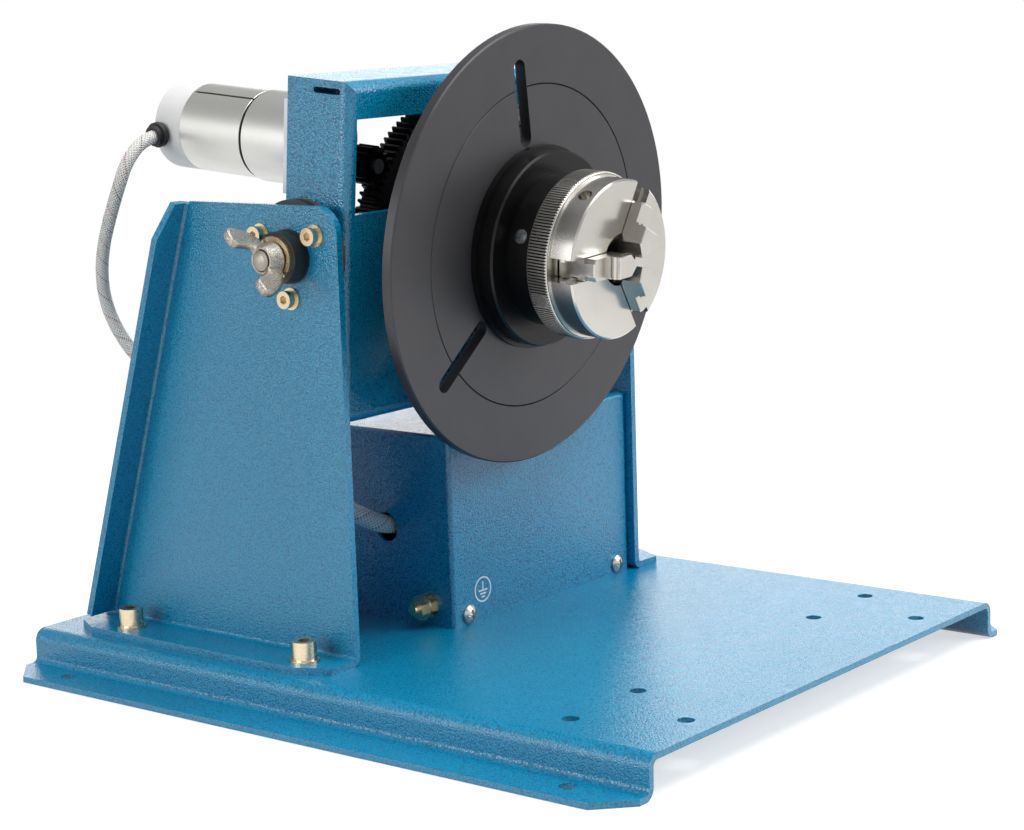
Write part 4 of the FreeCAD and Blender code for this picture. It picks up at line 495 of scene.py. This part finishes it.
KNURLS = 170
KNURL_DEPTH = 0.5
KNURL_SAMPLES = 8
KEY_HOLES = 4
KEY_HOLE_TURN = 117
KEY_HOLE_R = 3.0
KEY_HOLE_Y = -73.0


def knurled_ring():
    """Hand ring with straight knurling: narrow grooves between flat crests, as a power of a cosine.

    An attribute carries the depth of the groove at each vertex, where the steel is darkened as painted shade.
    """
    columns = KNURLS * KNURL_SAMPLES
    turns = np.arange(columns) * 2 * pi / columns
    groove = (0.5 + 0.5 * np.cos(KNURLS * turns)) ** 1.5
    # radius, y, share of the knurl's depth that shows there
    profile = np.array([
        (13.1, -68.25, 0), (33.1, -68.25, 0), (33.5, -68.4, 0), (34.0, -68.9, 1), (34.0, -77.5, 1),
        (33.6, -78.0, 0), (33.2, -78.2, 0), (33.15, -75.8, 0), (13.1, -75.8, 0)])
    share = profile[:, 2:3] * groove[None]
    radius = profile[:, 0:1] - KNURL_DEPTH * share
    points = in_head(ring_about_y(radius, profile[:, 1:2] + 0 * groove[None], turns[None]))
    faces = weave_faces(len(profile), columns, close_rows=True)[:, ::-1]
    piece = skin("knurled_ring", points, faces, knurled_steel, "scroll", smooth=False)
    deep = piece.data.attributes.new("groove", "FLOAT", "POINT")
    deep.data.foreach_set("value", share.reshape(-1))
    for k in range(KEY_HOLES):
        bore_key_hole(piece, radians(KEY_HOLE_TURN + 360 // KEY_HOLES * k))
    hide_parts("scroll_ring")


def bore_key_hole(piece, turn):
    """Cuts a key hole in the ring: a round rod across it, from 26 to 36 mm out, 8 mm deep in the ring."""
    columns = 32
    sides = np.arange(columns) * 2 * pi / columns
    out = np.array([cos(turn), 0, sin(turn)])
    across = np.array([-sin(turn), 0, cos(turn)])
    hoop = KEY_HOLE_R * (np.cos(sides)[:, None] * across + np.sin(sides)[:, None] * np.array([0, 1, 0]))
    centre = np.array([0, KEY_HOLE_Y, 0])
    points = np.concatenate([centre + out * 26.0 + hoop, centre + out * 36.0 + hoop])
    cutter = form("hole", in_head(points), weave_faces(2, columns).tolist() + end_faces(2, columns))
    cutter.data.validate()
    cut = piece.modifiers.new("hole", "BOOLEAN")
    cut.object = cutter
    cut.operation = "DIFFERENCE"
    cut.solver = "EXACT"
    settled(piece)
    bpy.data.objects.remove(cutter)


knurled_ring()


# Jaws of the chuck

JAWS = 3
JAW_TURN = 183.5
CHUCK_FACE = -89.5
JAW_TIP = 2.1
JAW_HEEL = 13.6  # inner end of the heel
JAW_END = 24.0
JAW_CUT = 22.5  # outer end of the heel's lowest part
JAW_SIDE = 4.45
JAW_NECK = 3.45  # half width between the chuck's guide ribs


def stepped_jaw(node, turn):
    """Gripping jaw as a stack of level outlines, each an eight-cornered ring: tip, sides, outer end.

    Corner = the level's tip, wedge, edge or outer radius along the slot, by a share of its half width
    across it. Two levels a hundredth of a millimetre apart make a square step. The heel stays behind the
    chuck's mouth, grooves clear the chuck's guide ribs, and the heel's outer end is cut back so that it
    passes the hand ring when the jaws are wide open.
    """
    # height over the chuck's face, tip radius, wedge per half width, edge radius, outer radius, half width
    levels = np.array([
        (-13.2, JAW_HEEL, 0, JAW_CUT, JAW_CUT, JAW_SIDE), (-11.1, JAW_HEEL, 0, JAW_CUT, JAW_CUT, JAW_SIDE),
        (-11.09, JAW_HEEL, 0, JAW_END, JAW_END, JAW_SIDE), (-5.81, JAW_HEEL, 0, JAW_END, JAW_END, JAW_SIDE),
        (-5.8, JAW_HEEL, 0, JAW_END, JAW_END, JAW_NECK), (-5.41, JAW_HEEL, 0, JAW_END, JAW_END, JAW_NECK),
        (-5.4, JAW_TIP, 1, JAW_END, JAW_END, JAW_NECK), (-3.21, JAW_TIP, 1, JAW_END, JAW_END, JAW_NECK),
        (-3.2, JAW_TIP, 1, JAW_END, JAW_END, JAW_SIDE), (0, JAW_TIP, 1, JAW_END, JAW_END, JAW_SIDE),
        (0.01, JAW_TIP, 1, 22.8, JAW_END, JAW_SIDE), (4.6, JAW_TIP, 1, 22.8, JAW_END, JAW_SIDE),
        (5.0, JAW_TIP, 1, 22.4, 23.6, JAW_SIDE), (5.01, JAW_TIP, 1, 15.2, 15.2, JAW_SIDE),
        (6.4, JAW_TIP, 1, 15.0, 15.0, JAW_SIDE), (6.6, JAW_TIP, 1, 14.2, 14.2, JAW_SIDE),
        (7.5, JAW_TIP, 1, 14.2, 14.2, JAW_SIDE), (7.7, JAW_TIP, 1, 14.8, 14.8, JAW_SIDE),
        (8.6, JAW_TIP, 1, 14.6, 14.6, JAW_SIDE), (8.8, JAW_TIP, 1, 13.9, 13.9, JAW_SIDE),
        (10.1, JAW_TIP, 1, 13.8, 13.8, JAW_SIDE), (10.5, 2.4, 1, 13.4, 13.4, 4.15)])
    height, tip, wedge, edge, outer, half = levels.T
    near = tip + wedge * half
    along = np.stack([tip, near, edge, outer, outer, outer, edge, near], -1)
    across = half[:, None] * np.array([0, 1, 1, 0.6, 0, -0.6, -1, -1])
    up = CHUCK_FACE - height[:, None] + 0 * along
    c, s = cos(radians(turn)), sin(radians(turn))
    points = np.stack([along * c - across * s, up, along * s + across * c], -1)
    cap = np.array([(0, 1, 2, 3), (0, 3, 4, 5), (0, 5, 6, 7)])
    faces = np.concatenate([weave_faces(len(levels), 8)[:, ::-1], cap, cap[:, ::-1] + 8 * (len(levels) - 1)])
    piece = skin("stepped_" + node, in_head(points.reshape(-1, 3)), faces, chuck_steel, node, smooth=False)
    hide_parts(node)


for k in range(JAWS):
    stepped_jaw("jaw_%d" % (k + 1), JAW_TURN + 360 // JAWS * k)


# Wing nuts

WING_TURN = 49
WING_SIDES = 32
WING_VOXEL = 0.28
HUB_SIDES = 72


def wing_sections():
    """One wing in the plane through the stud: out from the stud, and along it away from the bracket.

    Its middle line is a quadratic Bezier curve. Each section is a superellipse square to that line,
    whose half width and half thickness swell gently and close on the tip as a quarter ellipse.
    """
    share = np.linspace(0, 1, 40)[:, None]
    middle = (1 - share) ** 2 * np.array([2.0, 3.2]) + 2 * share * (1 - share) * np.array([11.5, 2.6])
    middle = middle + share ** 2 * np.array([12.4, 16.4])
    way = np.gradient(middle, axis=0)
    way /= np.linalg.norm(way, axis=1)[:, None]
    travelled = np.r_[0, np.cumsum(np.linalg.norm(np.diff(middle, axis=0), axis=1))]
    left = travelled[-1] - travelled
    close = np.sqrt(np.clip(1 - np.clip(1 - left / 4.4, 0, 1) ** 2, 0, 1))
    shut = np.sqrt(np.clip(1 - np.clip(1 - left / 1.7, 0, 1) ** 2, 0, 1))
    wide = (2.9 + 1.7 * np.sin(0.5 * pi * travelled / travelled[-1])) * close + 0.02
    thick = (1.9 - 0.5 * np.sin(pi * travelled / travelled[-1])) * shut + 0.02
    turns = np.arange(WING_SIDES) * 2 * pi / WING_SIDES
    across = np.sign(np.cos(turns)) * np.abs(np.cos(turns)) ** 0.5
    up = np.sign(np.sin(turns)) * np.abs(np.sin(turns)) ** 0.5
    square = np.stack([-way[:, 1], way[:, 0]], -1)[:, None]
    in_plane = middle[:, None] + (wide[:, None] * across)[:, :, None] * square
    return np.concatenate([in_plane, (thick[:, None] * up)[:, :, None]], -1).reshape(-1, 3)


def wing_nut(name, node, body, side):
    """Cast nut: a hub turned about the stud and two wings, drawn together and softened as a casting is."""
    low, high = (np.array(corner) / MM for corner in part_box(node))
    seat = min(abs(low[0]), abs(high[0]))
    turns = np.arange(HUB_SIDES) * 2 * pi / HUB_SIDES
    section = np.array([(4.3, 0.05), (6.5, 0.05), (6.95, 0.5), (6.0, 4.4), (5.4, 6.2), (5.1, 6.45),
                        (4.3, 6.45)])
    hub = ring_about_y(section[:, 0:1], section[:, 1:2], turns[None])
    wing = wing_sections()
    opposite = wing * np.array([-1, 1, -1])
    rows = len(wing) // WING_SIDES
    sheets = weave_faces(rows, WING_SIDES).tolist() + end_faces(rows, WING_SIDES)
    faces = weave_faces(len(section), HUB_SIDES, close_rows=True).tolist()
    for start in (len(hub), len(hub) + len(wing)):
        faces += [[start + corner for corner in face] for face in sheets]
    out, along, over = np.concatenate([hub, wing, opposite]).T
    angle = radians(WING_TURN)
    placed = np.stack([side * (seat + along), out * cos(angle) - over * sin(angle),
                       out * sin(angle) + over * cos(angle)], -1) + np.array(PIVOT) / MM
    piece = form(name, placed * MM, faces)
    skinned = piece.modifiers.new("casting", "REMESH")
    skinned.mode = "VOXEL"
    skinned.voxel_size = WING_VOXEL * MM
    skinned.use_smooth_shade = True
    soft = piece.modifiers.new("softened", "SMOOTH")
    soft.factor = 0.5
    soft.iterations = 4
    settled(piece)
    piece.data.materials.clear()
    piece.data.materials.append(cast_zinc)
    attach(piece, body)
    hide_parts(node)


wing_nut("cast_wing_nut_left", "wing_nut_left", "nut_left", -1)
wing_nut("cast_wing_nut_right", "wing_nut_right", "nut_right", 1)


# Motor

CASE_R = 16.8
MOTOR_R = 18.3  # over the flux ring and the cap
FLUX_RING_START = 55.0
FLUX_RING_END = 89.3
CAP_END = 95.0
MOTOR_COLUMNS = 160


def on_motor(section, turns):
    """A profile of radius and distance along the motor, carried round its axis, in metres."""
    points = ring_about_y(section[:, 0:1], section[:, 1:2], turns[None])
    return in_head(points + np.array([MOTOR_AT[0], 0, MOTOR_AT[1]]))


def about_motor(name, section, material):
    """A closed profile of radius and distance along the motor, turned about its axis."""
    turns = np.arange(MOTOR_COLUMNS) * 2 * pi / MOTOR_COLUMNS
    faces = weave_faces(len(section), MOTOR_COLUMNS, close_rows=True)[:, ::-1]
    piece = skin(name, on_motor(section, turns), faces, material, "head")
    sharpen(piece)


def sharpen(piece):
    """Smooth shading that stops at edges sharper than 30 degrees."""
    piece.data.set_sharp_from_angle(angle=radians(30))


def flux_ring():
    """Rolled sheet round the motor's case: an arc with two square edges and an open seam 1 mm wide."""
    inner, outer, start, end, edge = CASE_R + 0.05, MOTOR_R, FLUX_RING_START, FLUX_RING_END, 0.15
    seam = radians(122.5)
    half = 0.5 / outer
    columns = MOTOR_COLUMNS + 1
    turns = np.linspace(seam + half, seam + 2 * pi - half, columns)
    section = np.array([(inner, start), (outer - edge, start), (outer, start + edge), (outer, end - edge),
                        (outer - edge, end), (inner, end)])
    around = weave_faces(len(section), columns, close_rows=True, close_columns=False)[:, ::-1].tolist()
    ends = [[columns * k for k in range(len(section))],
            [columns * (k + 1) - 1 for k in range(len(section))][::-1]]
    piece = skin("flux_ring", on_motor(section, turns), around + ends, can_nickel, "head")
    sharpen(piece)
    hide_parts("motor_can")


flux_ring()
# painted shade: the dark case inside the flux ring shows only through its seam and the gaps at its ends
about_motor("motor_case", np.array([(1.0, 53.0), (CASE_R, 53.0), (CASE_R, 89.2), (1.0, 89.2)]), seam_shade_case)
about_motor("cap_skirt", np.array([(CASE_R, 89.35), (18.15, 89.35), (MOTOR_R, 89.5), (MOTOR_R, CAP_END),
                                   (CASE_R, CAP_END)]), white_abs)


# Earth sign on the control box

def earth_sign():
    """Earth sign printed in white, 0.06 mm proud of the sheet: a circle, a stem and three shorter bars."""
    front = 5.7
    proud, sunk = -0.06, 0.02
    columns = 64
    centre = np.array([-11.9, front, 29.7])
    turns = np.arange(columns) * 2 * pi / columns
    section = np.array([(5.5, sunk), (5.5, proud), (4.8, proud), (4.8, sunk)])
    ring = centre + ring_about_y(section[:, 0:1], section[:, 1:2], turns[None])
    points = [ring]
    faces = [weave_faces(len(section), columns, close_rows=True)]
    start = len(ring)
    quads = np.array([(0, 1, 2, 3), (7, 6, 5, 4), (0, 4, 5, 1), (1, 5, 6, 2), (2, 6, 7, 3), (3, 7, 4, 0)])
    for x0, x1, z0, z1 in ((-0.35, 0.35, -0.1, 3.4), (-2.9, 2.9, -0.8, -0.1), (-1.95, 1.95, -2.2, -1.5),
                           (-1.0, 1.0, -3.6, -2.9)):
        outline = ((x0, z0), (x1, z0), (x1, z1), (x0, z1))
        points.append(centre + np.array([(x, y, z) for y in (proud, sunk) for x, z in outline]))
        faces.append(quads + start)
        start += 8
    piece = skin("earth_sign", np.concatenate(points) * MM, np.concatenate(faces), white_ink, "base",
                 smooth=False)


earth_sign()


# Floor and light

FLOOR_GLOW = 0.62
FLOOR_FADE = (0.35, 0.95)  # metres from the middle
WALL_FADE = (0.22, 0.42)  # height that a ray points to, where 1 is straight up
ROOM_LIGHT = 0.07
# name, place, point it faces, width, height, power
LAMPS = (
    ("overhead", (0.1, -0.35, 1.5), (0, 0, 0.1), 1.3, 1.3, 25),
    ("left", (-1.7, 0.45, 0.5), (0, 0, 0.12), 1.1, 0.8, 11.5),
    ("front", (1.1, -1.5, 0.95), (0, 0, 0.12), 1.3, 0.9, 17),
    ("wall", (1.9, 1.6, 0.4), (0, 0, 0.2), 2.6, 0.78, 8.5))


def studio():
    """White surroundings, a pale floor that keeps the shadow and fades into them, and four soft lamps."""
    scene = bpy.context.scene
    scene.view_settings.view_transform = "Standard"
    paper = bpy.data.materials.new("studio_paper")
    paper.use_nodes = True
    tree = paper.node_tree
    tree.nodes.clear()
    seen = add(tree, "ShaderNodeLightPath")
    shown = add(tree, "ShaderNodeMath", {0: seen.outputs["Is Camera Ray"], 1: seen.outputs["Is Glossy Ray"]},
                operation="MAXIMUM")
    pale = add(tree, "ShaderNodeBsdfDiffuse", {"Color": tone("#cfcfcf")})
    glow = add(tree, "ShaderNodeEmission", {"Color": (1, 1, 1, 1), "Strength": FLOOR_GLOW})
    lit = add(tree, "ShaderNodeAddShader", {0: pale.outputs[0], 1: glow.outputs[0]})
    mixed = add(tree, "ShaderNodeMixShader", {0: shown.outputs[0], 1: pale.outputs[0], 2: lit.outputs[0]})
    middle = add(tree, "ShaderNodeTexCoord").outputs["Object"]
    far = add(tree, "ShaderNodeVectorMath", {0: middle}, operation="LENGTH").outputs["Value"]
    fade = {"Value": far, "From Min": FLOOR_FADE[0], "From Max": FLOOR_FADE[1]}
    gone = add(tree, "ShaderNodeMapRange", fade, interpolation_type="SMOOTHSTEP").outputs["Result"]
    clear = add(tree, "ShaderNodeBsdfTransparent")
    faded = add(tree, "ShaderNodeMixShader", {0: gone, 1: mixed.outputs[0], 2: clear.outputs[0]})
    add(tree, "ShaderNodeOutputMaterial", {"Surface": faded.outputs[0]})
    mesh = bpy.data.meshes.new("floor")
    mesh.from_pydata([(-1, -1, 0), (1, -1, 0), (1, 1, 0), (-1, 1, 0)], [], [(0, 1, 2, 3)])
    mesh.materials.append(paper)
    floor = bpy.data.objects.new("floor", mesh)
    floor.location.z = -0.0002
    scene.collection.objects.link(floor)
    world = bpy.data.worlds.new("studio")
    scene.world = world
    world.use_nodes = True
    tree = world.node_tree
    tree.nodes.clear()
    seen = add(tree, "ShaderNodeLightPath")
    rays = {0: seen.outputs["Is Camera Ray"], 1: seen.outputs["Is Transmission Ray"]}
    shown = add(tree, "ShaderNodeMath", rays, operation="MAXIMUM")
    height = add(tree, "ShaderNodeSeparateXYZ",
                 {"Vector": add(tree, "ShaderNodeTexCoord").outputs["Generated"]}).outputs["Z"]
    fade = {"Value": height, "From Min": WALL_FADE[0], "From Max": WALL_FADE[1], "To Min": 1.0, "To Max": 0.5}
    wall = add(tree, "ShaderNodeMapRange", fade, interpolation_type="SMOOTHSTEP").outputs["Result"]
    mirrored = add(tree, "ShaderNodeBackground", {"Color": (1, 1, 1, 1), "Strength": wall})
    dim = add(tree, "ShaderNodeBackground", {"Color": (1, 1, 1, 1), "Strength": ROOM_LIGHT})
    white = add(tree, "ShaderNodeBackground", {"Color": (1, 1, 1, 1), "Strength": 1.0})
    glossy = add(tree, "ShaderNodeMixShader", {0: seen.outputs["Is Glossy Ray"], 1: dim.outputs[0],
                                               2: mirrored.outputs[0]})
    mixed = add(tree, "ShaderNodeMixShader", {0: shown.outputs[0], 1: glossy.outputs[0], 2: white.outputs[0]})
    add(tree, "ShaderNodeOutputWorld", {"Surface": mixed.outputs[0]})
    for name, place, aim, wide, high, power in LAMPS:
        light = bpy.data.lights.new(name, "AREA")
        light.shape = "RECTANGLE"
        light.size = wide
        light.size_y = high
        light.energy = power
        lamp = bpy.data.objects.new(name, light)
        lamp.location = place
        lamp.rotation_euler = (Vector(place) - Vector(aim)).to_track_quat("Z", "Y").to_euler()
        lamp.visible_camera = False
        scene.collection.objects.link(lamp)


studio()
